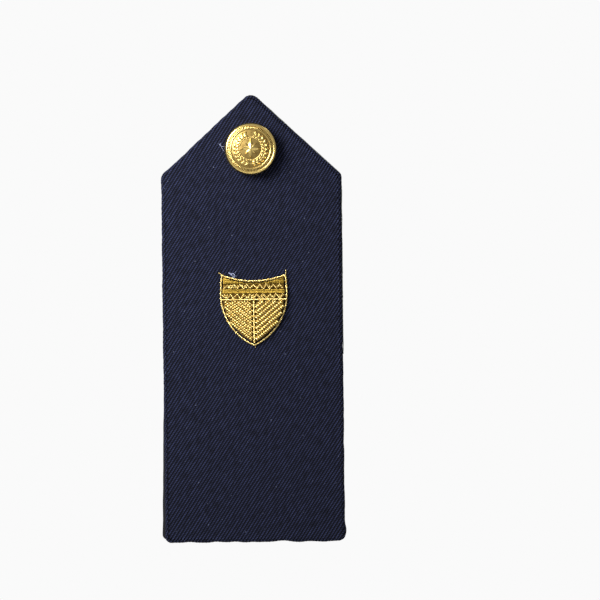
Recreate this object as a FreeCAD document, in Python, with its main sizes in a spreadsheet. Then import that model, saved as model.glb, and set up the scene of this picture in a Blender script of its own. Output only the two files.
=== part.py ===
import FreeCAD, Part

import math
import os

import Sketcher
from FreeCAD import Placement, Rotation, Vector

# Hard shoulder board: a stiff, cloth-covered board with a gilt button at its point, a bullion shield on its
# face, and a leather tongue, a snap fastener and a screw post on its back that hold it to a coat.
#
# The frame: +Z runs along the board to its point, the face looks along -Y, and the origin is on the axis of
# the button's post, in the plane where the board's back meets the coat. All sizes are in millimetres.

OUT_FOLDER = "parts"

# Driving dimensions. Depths are thicknesses along Y; "level" cells are distances in front of the coat plane.
SIZES = {
    "board_width": 57.2,
    "board_length": 142.0,
    "tip_to_post": 17.25,
    "peak_angle": 42.8,
    "tip_radius": 3.0,
    "shoulder_radius": 2.4,
    "heel_radius": 1.6,
    "cover_edge_radius": 0.45,
    "cloth": 0.5,
    "padding": 0.6,
    "stiffener": 1.6,
    "lining": 0.5,
    "turn_in": 7.5,
    "sheet_gap": 0.1,
    "lining_inset": 0.3,
    "lining_skew": 0.56,
    "lining_step": 0.6,
    "post_radius": 1.75,
    "post_shank_radius": 1.6,
    "post_tail": 4.0,
    "post_head_radius": 3.4,
    "post_head": 0.7,
    "post_point": 0.3,
    "eyelet_bore": 1.85,
    "eyelet_wall": 0.35,
    "eyelet_flange_radius": 4.2,
    "eyelet_flange": 0.35,
    "eyelet_lip_radius": 3.0,
    "eyelet_lip": 0.2,
    "hole_gap": 0.05,
    "button_radius": 8.29,
    "button_height": 5.2,
    "button_metal": 0.35,
    "button_field_radius": 6.05,
    "button_field_sag": 1.05,
    "button_ring_radius": 6.45,
    "button_ring_width": 0.3,
    "button_ring_height": 4.4,
    "button_ring_drop": 0.35,
    "button_groove_radius": 7.25,
    "button_groove_height": 3.75,
    "button_brow_step": 0.15,
    "button_brow_rise": 0.1,
    "button_brow_curve": 1.4,
    "button_side_curve": 2.6,
    "button_waist_height": 2.3,
    "button_hem_height": 0.6,
    "button_stand": 0.05,
    "button_seat": 0.4,
    "button_back_radius": 7.6,
    "button_hem_inset": 0.1,
    "button_curl_radius": 6.9,
    "button_filler_radius": 6.0,
    "button_filler": 2.0,
    "nut_bore": 1.8,
    "nut_radius": 4.2,
    "nut_boss_radius": 2.9,
    "nut_boss": 0.8,
    "nut_head": 1.9,
    "nut_groove_radius": 0.3,
    "nut_grooves": 24,
    "nut_bevel": 0.25,
    "washer": 0.5,
    "strap_width": 16.0,
    "strap": 1.3,
    "strap_sewn": 14.0,
    "strap_heel": 9.25,
    "strap_corner": 2.0,
    "snap_to_post": 20.0,
    "stud_flange_radius": 4.2,
    "stud_flange": 0.4,
    "stud_neck_radius": 1.55,
    "stud_neck": 0.65,
    "stud_knob_radius": 1.8,
    "stud_knob": 0.45,
    "stud_bore": 1.05,
    "rivet_radius": 1.0,
    "rivet_head_radius": 2.5,
    "rivet_head": 0.4,
    "rivet_clench_radius": 1.4,
    "rivet_clench": 0.15,
    "socket_radius": 4.8,
    "socket_bore": 2.1,
    "socket": 1.5,
    "socket_base": 0.25,
    "socket_gap": 0.2,
    "socket_lip": 0.2,
    "spring_groove": 0.45,
    "spring_groove_radius": 2.35,
    "spring_radius": 2.07,
    "spring_wire": 0.15,
    "cap_radius": 5.2,
    "cap_height": 0.5,
    "cap_post_radius": 0.85,
    "cap_clench_radius": 1.5,
    "cap_clench": 0.1,
    "stitch_radius": 0.28,
    "stitch_length": 1.9,
    "stitch_pitch": 2.6,
    "stitch_margin": 1.6,
    "stitch_cross_start": 0.18,
    "shield_right": 0.45,
    "shield_below_post": 39.6,
    "shield_ear": 10.35,
    "shield_waist": 10.73,
    "shield_waist_drop": 6.5,
    "shield_height": 22.9,
    "shield_dip": 1.9,
    "cord_radius": 0.45,
    "shield_padding": 0.9,
    "purl_radius": 0.6,
    "purl_pitch": 1.3,
    "purl_slope": 40.0,
    "divider_drop": 8.6,
    "divider_radius": 0.4,
    "band": 0.35,
    "top_band_drop": 3.05,
    "low_band_drop": 4.95,
    "low_band_height": 1.1,
    "chip_radius": 0.27,
    "chip_length": 1.7,
    "chip_pitch": 1.76,
    "chip_slope": 50.0,
    "upper_chip_drop": 4.0,
    "lower_chip_drop": 7.1,
}

# Levels in front of the coat plane, as expressions in the sheet's cells.
LINING_FRONT = "Sizes.lining"
BOARD_BACK = "Sizes.lining + Sizes.cloth"
BOARD_FRONT = "Sizes.lining + Sizes.cloth + Sizes.stiffener"
COVER_INSIDE = "Sizes.lining + Sizes.cloth + Sizes.stiffener + Sizes.padding"
FACE = "Sizes.lining + 2 * Sizes.cloth + Sizes.stiffener + Sizes.padding"
WINDOW = "Sizes.cloth + Sizes.turn_in"
LAYER_HOLE = "Sizes.eyelet_bore + Sizes.eyelet_wall + Sizes.hole_gap"

doc = FreeCAD.newDocument("shoulder_board")


def fill_sheet():
    """The spreadsheet that every size is read from."""
    sheet = doc.addObject("Spreadsheet::Sheet", "Sizes")
    for row, (name, value) in enumerate(SIZES.items(), start=1):
        sheet.set(f"A{row}", name)
        sheet.set(f"B{row}", str(value))
        sheet.setAlias(f"B{row}", name)
    doc.recompute()
    return sheet


sizes = fill_sheet()


def value(expression):
    """The number that an expression in the sheet's cells has now."""
    result = sizes.evalExpression(str(expression).replace("Sizes.", ""))
    return float(getattr(result, "Value", result))


# ---- sketches ----


def new_body(label):
    return doc.addObject("PartDesign::Body", label)


def new_sketch(body, role, level="0", offset=None):
    """A sketch on one of the body's own origin planes, moved along its normal by level, or by offset."""
    sketch = body.newObject("Sketcher::SketchObject", body.Label + "_sketch")
    plane = [f for f in body.Origin.OriginFeatures if f.Role == role][0]
    sketch.AttachmentSupport = [(plane, "")]
    sketch.MapMode = "FlatFace"
    sketch.AttachmentOffset = offset or Placement()
    if level != "0":
        sketch.setExpression("AttachmentOffset.Base.z", level)
    return sketch


def bind(sketch, kind, where, expression):
    """Adds a dimension and ties it to the sheet; a size of nothing becomes a point on the sketch's axis."""
    size = value(expression)
    if abs(size) < 1e-9 and kind in ("DistanceX", "DistanceY"):
        axis = -2 if kind == "DistanceX" else -1
        sketch.addConstraint(Sketcher.Constraint("PointOnObject", *where, axis))
        return
    index = sketch.addConstraint(Sketcher.Constraint(kind, *where, size))
    sketch.setExpression(f"Constraints[{index}]", expression)


def arc_between(start, end, radius, turns_left):
    """The arc from start to end, its centre on the left of the way if turns_left, and which end is first."""
    chord = end - start
    away = math.sqrt(max(radius**2 - (chord.Length / 2) ** 2, 0.0))
    left = Vector(-chord.y, chord.x, 0).normalize()
    centre = (start + end) * 0.5 + left * (away if turns_left else -away)
    first, last = (start, end) if turns_left else (end, start)
    a, b = first - centre, last - centre
    circle = Part.Circle(centre, Vector(0, 0, 1), radius)
    return Part.ArcOfCircle(circle, math.atan2(a.y, a.x), math.atan2(b.y, b.x))


def closed_profile(sketch, corners):
    """Draws corners (across, up, radius): straight to the next corner, or an arc if a radius follows. A radius
    that starts with "-" turns right."""
    points = [Vector(value(c[0]), value(c[1]), 0) for c in corners]
    ends = []
    for i, corner in enumerate(corners):
        start, end = points[i], points[(i + 1) % len(points)]
        if len(corner) == 2:
            sketch.addGeometry(Part.LineSegment(start, end))
            ends.append((1, 2))
            continue
        left = not corner[2].startswith("-")
        size = corner[2].lstrip("-")
        sketch.addGeometry(arc_between(start, end, value(size), left))
        ends.append((1, 2) if left else (2, 1))
        bind(sketch, "Radius", (i,), size)
    for i, (first, last) in enumerate(ends):
        after = (i + 1) % len(ends)
        sketch.addConstraint(Sketcher.Constraint("Coincident", i, last, after, ends[after][0]))
        bind(sketch, "DistanceX", (i, first), corners[i][0])
        bind(sketch, "DistanceY", (i, first), corners[i][1])


def circles(sketch, radii, height="0"):
    """Circles of these radii about a point on the sketch's upright axis."""
    for i, radius in enumerate(radii):
        centre = Vector(0, value(height), 0)
        sketch.addGeometry(Part.Circle(centre, Vector(0, 0, 1), value(radius)))
        bind(sketch, "Radius", (i,), radius)
        bind(sketch, "DistanceX", (i, 3), "0")
        bind(sketch, "DistanceY", (i, 3), height)


def board_outline(sketch, inset, tip="0.5", shoulder="0.5", heel="0.5"):
    """The board's five-sided outline with rounded corners, moved inwards by inset all round."""
    slope = math.radians(value("Sizes.peak_angle"))
    half = value(f"Sizes.board_width / 2 - ({inset})")
    low_size = f"Sizes.tip_to_post - Sizes.board_length + ({inset})"
    low = value(low_size)
    peak = "Sizes.tip_to_post - Sizes.tip_radius + Sizes.tip_radius / cos(Sizes.peak_angle * 1 deg)"
    tip_centre = f"{peak} - (({inset}) + ({tip})) / cos(Sizes.peak_angle * 1 deg)"
    top = value(f"{peak} - ({inset}) / cos(Sizes.peak_angle * 1 deg)")
    r_tip, r_shoulder, r_heel = value(tip), value(shoulder), value(heel)
    flank = Vector(math.sin(slope), math.cos(slope), 0)
    mirror = Vector(-flank.x, flank.y, 0)
    tip_at = Vector(0, value(tip_centre), 0)
    drop = r_shoulder / math.cos(slope) + (half - r_shoulder) * math.tan(slope)
    shoulder_at = Vector(half - r_shoulder, top - drop, 0)
    heel_at = Vector(half - r_heel, low + r_heel, 0)
    left_shoulder = Vector(-shoulder_at.x, shoulder_at.y, 0)
    left_heel = Vector(-heel_at.x, heel_at.y, 0)
    across, up = Vector(1, 0, 0), Vector(0, 1, 0)

    def line(a, b):
        sketch.addGeometry(Part.LineSegment(a, b))

    def corner(centre, radius, start, end):
        circle = Part.Circle(centre, Vector(0, 0, 1), radius)
        sketch.addGeometry(Part.ArcOfCircle(circle, start, end))

    quarter = math.pi / 2
    line(left_heel - up * r_heel, heel_at - up * r_heel)
    corner(heel_at, r_heel, -quarter, 0)
    line(heel_at + across * r_heel, shoulder_at + across * r_shoulder)
    corner(shoulder_at, r_shoulder, 0, quarter - slope)
    line(shoulder_at + flank * r_shoulder, tip_at + flank * r_tip)
    corner(tip_at, r_tip, quarter - slope, quarter + slope)
    line(tip_at + mirror * r_tip, left_shoulder + mirror * r_shoulder)
    corner(left_shoulder, r_shoulder, quarter + slope, 2 * quarter)
    line(left_shoulder - across * r_shoulder, left_heel - across * r_heel)
    corner(left_heel, r_heel, 2 * quarter, 3 * quarter)
    for i in range(10):
        sketch.addConstraint(Sketcher.Constraint("Tangent", i, 2, (i + 1) % 10, 1))
    sketch.addConstraint(Sketcher.Constraint("Horizontal", 0))
    sketch.addConstraint(Sketcher.Constraint("Vertical", 2))
    sketch.addConstraint(Sketcher.Constraint("Vertical", 8))
    for arc, radius in ((1, heel), (3, shoulder), (5, tip), (7, shoulder), (9, heel)):
        bind(sketch, "Radius", (arc,), radius)
    bind(sketch, "DistanceY", (0, 1), low_size)
    bind(sketch, "DistanceX", (2, 1), f"Sizes.board_width / 2 - ({inset})")
    bind(sketch, "DistanceX", (8, 1), f"-Sizes.board_width / 2 + ({inset})")
    bind(sketch, "DistanceX", (5, 3), "0")
    bind(sketch, "DistanceY", (5, 3), tip_centre)
    for line_index, sign in ((4, 1), (6, -1)):
        turn = math.pi - sign * slope
        index = sketch.addConstraint(Sketcher.Constraint("Angle", line_index, turn))
        sketch.setExpression(f"Constraints[{index}]", f"180 deg - {sign} * Sizes.peak_angle * 1 deg")


# ---- features ----


def pad(body, sketch, length):
    feature = body.newObject("PartDesign::Pad", body.Label + "_pad")
    feature.Profile = sketch
    feature.setExpression("Length", length)
    doc.recompute()
    return feature


def pocket(body, sketch, length):
    """Cuts forwards, along the sketch's normal, and makes sure that something was cut."""
    before = body.Shape.Volume
    feature = body.newObject("PartDesign::Pocket", body.Label + "_pocket")
    feature.Profile = sketch
    feature.Reversed = True
    feature.setExpression("Length", length)
    doc.recompute()
    if not body.Shape.Volume < before - 1e-6:
        raise RuntimeError(f"{feature.Name} cuts nothing")
    return feature


def revolve(body, corners):
    """Turns a profile of (y, radius) corners about the body's Y axis."""
    sketch = new_sketch(body, "YZ_Plane")
    closed_profile(sketch, corners)
    feature = body.newObject("PartDesign::Revolution", body.Label + "_turned")
    feature.Profile = sketch
    feature.ReferenceAxis = (sketch, ["H_Axis"])
    feature.Angle = 360
    doc.recompute()
    return feature


def round_edges(body, feature, radius, level):
    """Rounds the outer edges of feature that lie wholly at this level in front of the coat plane."""
    depth = -value(level)
    edges = []
    for i, edge in enumerate(feature.Shape.Edges, start=1):
        box = edge.BoundBox
        if abs(box.YMin - depth) < 1e-6 and abs(box.YMax - depth) < 1e-6:
            edges.append(f"Edge{i}")
    fillet = body.newObject("PartDesign::Fillet", body.Label + "_round")
    fillet.Base = (feature, edges)
    fillet.setExpression("Radius", radius)
    doc.recompute()
    return fillet


def round_hole(body, radius, level, depth, height="0"):
    sketch = new_sketch(body, "XZ_Plane", level)
    circles(sketch, [radius], height)
    return pocket(body, sketch, depth)


# ---- the board's layers ----

SNAP_HEIGHT = "-Sizes.snap_to_post"
OUTLINE = ("Sizes.tip_radius", "Sizes.shoulder_radius", "Sizes.heel_radius")


def inner_radii(inset):
    return [f"{radius} - {inset}" for radius in OUTLINE]


def stiffener_board():
    body = new_body("stiffener_board")
    sketch = new_sketch(body, "XZ_Plane", BOARD_BACK)
    board_outline(sketch, "Sizes.cloth", *inner_radii("Sizes.cloth"))
    pad(body, sketch, "Sizes.stiffener")
    round_hole(body, LAYER_HOLE, BOARD_BACK, "Sizes.stiffener")
    round_hole(body, "Sizes.rivet_radius", BOARD_BACK, "Sizes.stiffener", SNAP_HEIGHT)
    sink = f"{BOARD_FRONT} - Sizes.rivet_head"
    round_hole(body, "Sizes.rivet_head_radius", sink, "Sizes.rivet_head", SNAP_HEIGHT)


def padding_sheet():
    body = new_body("padding_sheet")
    sketch = new_sketch(body, "XZ_Plane", BOARD_FRONT)
    board_outline(sketch, "Sizes.cloth", *inner_radii("Sizes.cloth"))
    pad(body, sketch, "Sizes.padding")
    round_hole(body, LAYER_HOLE, BOARD_FRONT, "Sizes.padding")


def twill_cover():
    """The cloth: a face, the sides it is drawn over, and the margin turned in behind."""
    body = new_body("twill_cover")
    outer = new_sketch(body, "XZ_Plane", LINING_FRONT)
    board_outline(outer, "0", *OUTLINE)
    solid = pad(body, outer, f"{FACE} - Sizes.lining")
    round_edges(body, solid, "Sizes.cover_edge_radius", FACE)
    window = new_sketch(body, "XZ_Plane", LINING_FRONT)
    board_outline(window, WINDOW)
    pocket(body, window, "Sizes.cloth")
    inside = new_sketch(body, "XZ_Plane", BOARD_BACK)
    board_outline(inside, "Sizes.cloth", *inner_radii("Sizes.cloth"))
    pocket(body, inside, "Sizes.stiffener + Sizes.padding")
    round_hole(body, LAYER_HOLE, COVER_INSIDE, "Sizes.cloth")


def backing_lining():
    """The lining is laid on slightly askew, and dips inside the frame of turned-in cloth."""
    body = new_body("backing_lining")
    middle = Vector(0, value("Sizes.tip_to_post - Sizes.board_length / 2"), 0)
    turn = Rotation(Vector(0, 0, 1), -value("Sizes.lining_skew"))
    rim = new_sketch(body, "XZ_Plane", "0", Placement(middle - turn.multVec(middle), turn))
    board_outline(rim, "Sizes.lining_inset", *inner_radii("Sizes.lining_inset"))
    pad(body, rim, "Sizes.lining")
    floor_sheet = new_sketch(body, "XZ_Plane", LINING_FRONT)
    board_outline(floor_sheet, f"{WINDOW} + Sizes.sheet_gap")
    pad(body, floor_sheet, "Sizes.cloth")
    dip = new_sketch(body, "XZ_Plane", "0")
    board_outline(dip, f"{WINDOW} + Sizes.sheet_gap + Sizes.lining_step")
    pocket(body, dip, "Sizes.lining")
    round_hole(body, LAYER_HOLE, LINING_FRONT, "Sizes.cloth")
    round_hole(body, "Sizes.rivet_radius", LINING_FRONT, "Sizes.cloth", SNAP_HEIGHT)


# ---- the eyelet in the board ----


def post_eyelet():
    bore, barrel = "Sizes.eyelet_bore", "Sizes.eyelet_bore + Sizes.eyelet_wall"
    front = f"-({FACE}) - Sizes.eyelet_flange"
    revolve(
        new_body("post_eyelet"),
        [
            ("0", bore),
            ("0", "Sizes.eyelet_lip_radius"),
            ("-Sizes.eyelet_lip", "Sizes.eyelet_lip_radius"),
            ("-Sizes.eyelet_lip", barrel),
            (f"-({FACE})", barrel),
            (f"-({FACE})", "Sizes.eyelet_flange_radius"),
            (front, "Sizes.eyelet_flange_radius"),
            (front, bore),
        ],
    )


def ring(label, inner, outer, back, front):
    """A flat washer between two Y values."""
    revolve(new_body(label), [(back, inner), (back, outer), (front, outer), (front, inner)])


# ---- the button ----


def above_cloth(height):
    return f"-({FACE}) - ({height})"


def button_face():
    """A stamped shell: domed field, bead ring, milled channel and a rim that is crimped round the back plate."""
    metal = "Sizes.button_metal"
    dome = "(Sizes.button_field_radius ^ 2 + Sizes.button_field_sag ^ 2) / (2 * Sizes.button_field_sag)"
    field_edge = "Sizes.button_height - Sizes.button_field_sag"
    ring_foot = "Sizes.button_ring_height - Sizes.button_ring_drop"
    brow = "Sizes.button_groove_height + Sizes.button_brow_rise"
    brow_radius = "Sizes.button_groove_radius + Sizes.button_brow_step"
    hem_inside = f"Sizes.button_hem_height + {metal} / 2"
    shell = [
        ("Sizes.button_height", "0", f"-{dome}"),
        (field_edge, "Sizes.button_field_radius"),
        ("Sizes.button_ring_height", "Sizes.button_ring_radius - Sizes.button_ring_width"),
        ("Sizes.button_ring_height", "Sizes.button_ring_radius"),
        (ring_foot, "Sizes.button_ring_radius + Sizes.button_hem_inset"),
        ("Sizes.button_groove_height", "Sizes.button_groove_radius"),
        (brow, brow_radius, "-Sizes.button_brow_curve"),
        ("Sizes.button_waist_height", "Sizes.button_radius", "-Sizes.button_side_curve"),
        ("Sizes.button_hem_height", f"Sizes.button_back_radius + {metal}"),
        ("Sizes.button_stand", "Sizes.button_back_radius - Sizes.button_hem_inset"),
        ("Sizes.button_stand", "Sizes.button_curl_radius"),
        ("Sizes.button_seat", "Sizes.button_curl_radius"),
        ("Sizes.button_seat", "Sizes.button_back_radius"),
        (hem_inside, "Sizes.button_back_radius"),
        ("Sizes.button_waist_height", f"Sizes.button_radius - {metal}"),
        (f"Sizes.button_groove_height - {metal}", "Sizes.button_groove_radius - Sizes.button_hem_inset"),
        (f"{field_edge} - {metal}", "Sizes.button_field_radius", dome),
        (f"Sizes.button_height - {metal}", "0"),
    ]
    revolve(new_body("button_face"), [(above_cloth(c[0]), *c[1:]) for c in shell])


def button_inside():
    """The back plate, the screw post whose head it traps, and the disc that backs the dome."""
    seat = above_cloth("Sizes.button_seat")
    plate_front = above_cloth("Sizes.button_seat + Sizes.button_metal")
    head_front = above_cloth("Sizes.button_seat + Sizes.button_metal + Sizes.post_head")
    filler_front = f"{head_front} - Sizes.button_filler"
    ring("button_back", "Sizes.post_shank_radius", "Sizes.button_back_radius", seat, plate_front)
    revolve(
        new_body("button_post"),
        [
            ("Sizes.post_tail", "0"),
            ("Sizes.post_tail", "Sizes.post_radius - Sizes.post_point"),
            ("Sizes.post_tail - Sizes.post_point", "Sizes.post_radius"),
            ("0", "Sizes.post_radius"),
            ("0", "Sizes.post_shank_radius"),
            (plate_front, "Sizes.post_shank_radius"),
            (plate_front, "Sizes.post_head_radius"),
            (head_front, "Sizes.post_head_radius"),
            (head_front, "0"),
        ],
    )
    revolve(
        new_body("button_filler"),
        [
            (head_front, "0"),
            (head_front, "Sizes.button_filler_radius"),
            (filler_front, "Sizes.button_filler_radius"),
            (filler_front, "0"),
        ],
    )


# ---- the nut ----


def thumb_nut():
    body = new_body("thumb_nut")
    back = "Sizes.washer + Sizes.nut_boss + Sizes.nut_head"
    revolve(
        body,
        [
            ("Sizes.washer", "Sizes.nut_bore"),
            ("Sizes.washer", "Sizes.nut_boss_radius"),
            ("Sizes.washer + Sizes.nut_boss", "Sizes.nut_boss_radius"),
            ("Sizes.washer + Sizes.nut_boss", "Sizes.nut_radius - Sizes.nut_bevel"),
            ("Sizes.washer + Sizes.nut_boss + Sizes.nut_bevel", "Sizes.nut_radius"),
            (f"{back} - Sizes.nut_bevel", "Sizes.nut_radius"),
            (back, "Sizes.nut_radius - Sizes.nut_bevel"),
            (back, "Sizes.nut_bore"),
        ],
    )
    before = body.Shape.Volume
    groove = new_sketch(body, "XZ_Plane", f"-({back})")
    circles(groove, ["Sizes.nut_groove_radius"], "Sizes.nut_radius")
    cut = pocket(body, groove, "Sizes.nut_head")
    one = before - body.Shape.Volume
    knurl = body.newObject("PartDesign::PolarPattern", "thumb_nut_knurl")
    knurl.Originals = [cut]
    knurl.Axis = (groove, ["N_Axis"])
    knurl.Angle = 360
    knurl.setExpression("Occurrences", "Sizes.nut_grooves")
    body.Tip = knurl
    doc.recompute()
    if before - body.Shape.Volume < 0.9 * one * value("Sizes.nut_grooves"):
        raise RuntimeError("the nut's grooves weren't all cut")


# ---- the tongue and its snap ----


def strap_sewn_end():
    """The end of the leather strap that is stitched to the lining."""
    body = new_body("strap_sewn_end")
    half, corner = "Sizes.strap_width / 2", "Sizes.strap_corner"
    low = "Sizes.tip_to_post - Sizes.board_length + Sizes.strap_heel"
    high = f"{low} + Sizes.strap_sewn"
    sketch = new_sketch(body, "XZ_Plane", "Sizes.lining - Sizes.strap")
    closed_profile(
        sketch,
        [
            (f"-{half} + {corner}", low),
            (f"{half} - {corner}", low, corner),
            (half, f"{low} + {corner}"),
            (half, high),
            (f"-{half}", high),
            (f"-{half}", f"{low} + {corner}", corner),
        ],
    )
    pad(body, sketch, "Sizes.strap")


TONGUE_REACH = (
    "Sizes.board_length - Sizes.tip_to_post - Sizes.strap_heel - Sizes.strap_sewn - Sizes.snap_to_post"
)


def tongue_place(along="0"):
    """Where the tongue's own frame sits: its origin is the fold's outer edge, and it leans back just enough
    to stand the snap's socket off its stud."""
    stand_off = value("Sizes.socket + Sizes.socket_gap + Sizes.stud_flange")
    lean = math.degrees(math.asin(stand_off / value(TONGUE_REACH)))
    fold = Vector(
        0,
        value("Sizes.strap - Sizes.lining"),
        value("Sizes.tip_to_post - Sizes.board_length + Sizes.strap_heel + Sizes.strap_sewn"),
    )
    frame = Placement(fold, Rotation(Vector(-1, 0, 0), lean))
    return frame.multiply(Placement(Vector(0, 0, value(along)), Rotation()))


def tongue_strap():
    body = new_body("tongue_strap")
    half = "Sizes.strap_width / 2"
    sketch = new_sketch(body, "XZ_Plane")
    closed_profile(
        sketch,
        [
            (f"-{half}", "0"),
            (half, "0"),
            (half, TONGUE_REACH, half),
            ("0", f"{TONGUE_REACH} + {half}", half),
            (f"-{half}", TONGUE_REACH),
        ],
    )
    pad(body, sketch, "Sizes.strap")
    round_hole(body, "Sizes.cap_post_radius", "0", "Sizes.strap", TONGUE_REACH)
    body.Placement = tongue_place()


def at_snap(label, corners):
    """A turned piece of the snap that rides on the tongue."""
    body = new_body(label)
    revolve(body, corners)
    body.Placement = tongue_place(TONGUE_REACH)


def snap_on_tongue():
    face = "-Sizes.strap"
    base, mouth = "-Sizes.strap - Sizes.socket_base", "-Sizes.strap - Sizes.socket"
    groove = f"{mouth} + Sizes.socket_lip"
    groove_end = f"{groove} + Sizes.spring_groove"
    at_snap(
        "snap_socket",
        [
            (face, "Sizes.cap_post_radius"),
            (face, "Sizes.socket_radius"),
            (mouth, "Sizes.socket_radius"),
            (mouth, "Sizes.socket_bore"),
            (groove, "Sizes.socket_bore"),
            (groove, "Sizes.spring_groove_radius"),
            (groove_end, "Sizes.spring_groove_radius"),
            (groove_end, "Sizes.socket_bore"),
            (base, "Sizes.socket_bore"),
            (base, "Sizes.cap_post_radius"),
        ],
    )
    cap_edge = "Sizes.cap_height / 4"
    crown_rise = f"(Sizes.cap_height - {cap_edge})"
    crown = f"(Sizes.cap_radius ^ 2 + {crown_rise} ^ 2) / (2 * {crown_rise})"
    clench = f"{base} - Sizes.cap_clench"
    at_snap(
        "snap_cap",
        [
            ("Sizes.cap_height", "0"),
            (clench, "0"),
            (clench, "Sizes.cap_clench_radius"),
            (base, "Sizes.cap_clench_radius"),
            (base, "Sizes.cap_post_radius"),
            ("0", "Sizes.cap_post_radius"),
            ("0", "Sizes.cap_radius"),
            (cap_edge, "Sizes.cap_radius", f"-{crown}"),
        ],
    )
    spring = doc.addObject("Part::Torus", "snap_spring")
    spring.setExpression("Radius1", "Sizes.spring_radius")
    spring.setExpression("Radius2", "Sizes.spring_wire")
    middle = Vector(0, value(f"{groove} + Sizes.spring_groove / 2"), 0)
    on_tongue = tongue_place(TONGUE_REACH)
    spring.Placement = on_tongue.multiply(Placement(middle, Rotation(Vector(1, 0, 0), 90)))


def snap_on_board():
    """The stud on the lining, and the rivet that holds it to the stiffener."""
    seat, flange = "-Sizes.lining", "-Sizes.lining + Sizes.stud_flange"
    neck = f"{flange} + Sizes.stud_neck"
    knob = f"{neck} + Sizes.stud_knob"
    stud = new_body("snap_stud")
    revolve(
        stud,
        [
            (seat, "Sizes.stud_bore"),
            (seat, "Sizes.stud_flange_radius"),
            (flange, "Sizes.stud_flange_radius"),
            (flange, "Sizes.stud_neck_radius"),
            (neck, "Sizes.stud_neck_radius"),
            (f"{neck} + Sizes.stud_knob / 3", "Sizes.stud_knob_radius"),
            (f"{neck} + 2 * Sizes.stud_knob / 3", "Sizes.stud_knob_radius"),
            (knob, "Sizes.stud_neck_radius"),
            (knob, "Sizes.stud_bore"),
        ],
    )
    head = f"-({BOARD_FRONT})"
    rivet = new_body("snap_rivet")
    revolve(
        rivet,
        [
            (f"{knob} + Sizes.rivet_clench", "0"),
            (f"{knob} + Sizes.rivet_clench", "Sizes.rivet_clench_radius - Sizes.rivet_clench"),
            (knob, "Sizes.rivet_clench_radius"),
            (knob, "Sizes.rivet_radius"),
            (f"{head} + Sizes.rivet_head", "Sizes.rivet_radius"),
            (f"{head} + Sizes.rivet_head", "Sizes.rivet_head_radius"),
            (head, "Sizes.rivet_head_radius"),
            (head, "0"),
        ],
    )
    for body in (stud, rivet):
        body.setExpression(".Placement.Base.z", SNAP_HEIGHT)


# ---- threads of the strap's seam ----


def half_thread(start, end, radius):
    """A thread from start to end, with its flat side on the plane that they lie in, bulging along +Y."""
    way = end - start
    rod = Part.makeCylinder(radius, way.Length, start, way)
    for tip in (start, end):
        rod = rod.fuse(Part.makeSphere(radius, tip))
    reach = way.Length + 4 * radius
    keep = Part.makeBox(2 * reach, 2 * radius, 2 * reach, (start + end) * 0.5 - Vector(reach, 0, reach))
    return rod.common(keep)


def stitch_run(start, end):
    """Stitches in a straight run, with a gap between each and the next."""
    way = end - start
    count = max(1, round(way.Length / value("Sizes.stitch_pitch")))
    step = way / count
    reach = step.normalize() * value("Sizes.stitch_length / 2 - Sizes.stitch_radius")
    stitches = []
    for i in range(count):
        middle = start + way * ((i + 0.5) / count)
        stitches.append(half_thread(middle - reach, middle + reach, value("Sizes.stitch_radius")))
    return stitches


def strap_stitches():
    """A sewn box with a cross in it, on the outside of the strap's fixed end."""
    half = value("Sizes.strap_width / 2 - Sizes.stitch_margin")
    depth = value("Sizes.strap - Sizes.lining")
    low = value("Sizes.tip_to_post - Sizes.board_length + Sizes.strap_heel + Sizes.stitch_margin")
    high = low + value("Sizes.strap_sewn - 2 * Sizes.stitch_margin")
    corners = [Vector(x, depth, z) for x, z in ((-half, low), (half, low), (half, high), (-half, high))]
    stitches = []
    for i, corner in enumerate(corners):
        stitches += stitch_run(corner, corners[(i + 1) % 4])
    for a, b in ((0, 2), (1, 3)):
        inset = (corners[b] - corners[a]) * value("Sizes.stitch_cross_start")
        stitches += stitch_run(corners[a] + inset, corners[b] - inset)
    shape_node("strap_stitches", clear_of_each_other(stitches))


def clear_of_each_other(solids):
    """The solids, without those that cross one already kept."""
    kept = []
    for solid in solids:
        if all(solid.common(other).Volume < 1e-9 for other in kept):
            kept.append(solid)
    return kept


def shape_node(label, solids):
    node = doc.addObject("Part::Feature", label)
    node.Shape = Part.makeCompound(solids)
    return node


# ---- the bullion shield ----


def shield_outline():
    """The shield's outline on the face of the cloth: two ears, a dip between them and curved flanks."""
    sketch = doc.addObject("Sketcher::SketchObject", "shield_outline")
    flank = "((Sizes.shield_height - Sizes.shield_waist_drop) ^ 2 + Sizes.shield_waist ^ 2)"
    flank += " / (2 * Sizes.shield_waist)"
    brow = "(Sizes.shield_ear ^ 2 + Sizes.shield_dip ^ 2) / (2 * Sizes.shield_dip)"
    narrowing = "(Sizes.shield_waist - Sizes.shield_ear)"
    lean = f"(Sizes.shield_waist_drop ^ 2 + {narrowing} ^ 2) / (2 * {narrowing})"
    closed_profile(
        sketch,
        [
            ("0", "-Sizes.shield_height", flank),
            ("Sizes.shield_waist", "-Sizes.shield_waist_drop", lean),
            ("Sizes.shield_ear", "0", f"-{brow}"),
            ("-Sizes.shield_ear", "0", lean),
            ("-Sizes.shield_waist", "-Sizes.shield_waist_drop", flank),
        ],
    )
    sketch.Placement = Placement(
        Vector(value("Sizes.shield_right"), -value(FACE), -value("Sizes.shield_below_post")),
        Rotation(Vector(1, 0, 0), 90),
    )
    doc.recompute()
    return sketch


def moved_in(source, inset, label):
    path = doc.addObject("Part::Offset2D", label)
    path.Source = source
    path.setExpression("Value", f"-({inset})")
    doc.recompute()
    return path


def raised(label, sketch, height, inset):
    """The outline, moved inwards by inset, raised from the cloth by height."""
    block = doc.addObject("Part::Extrusion", label)
    block.Base = moved_in(sketch, inset, label + "_outline")
    block.DirMode = "Normal"
    block.Solid = True
    block.setExpression("LengthFwd", height)
    doc.recompute()
    return block


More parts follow.
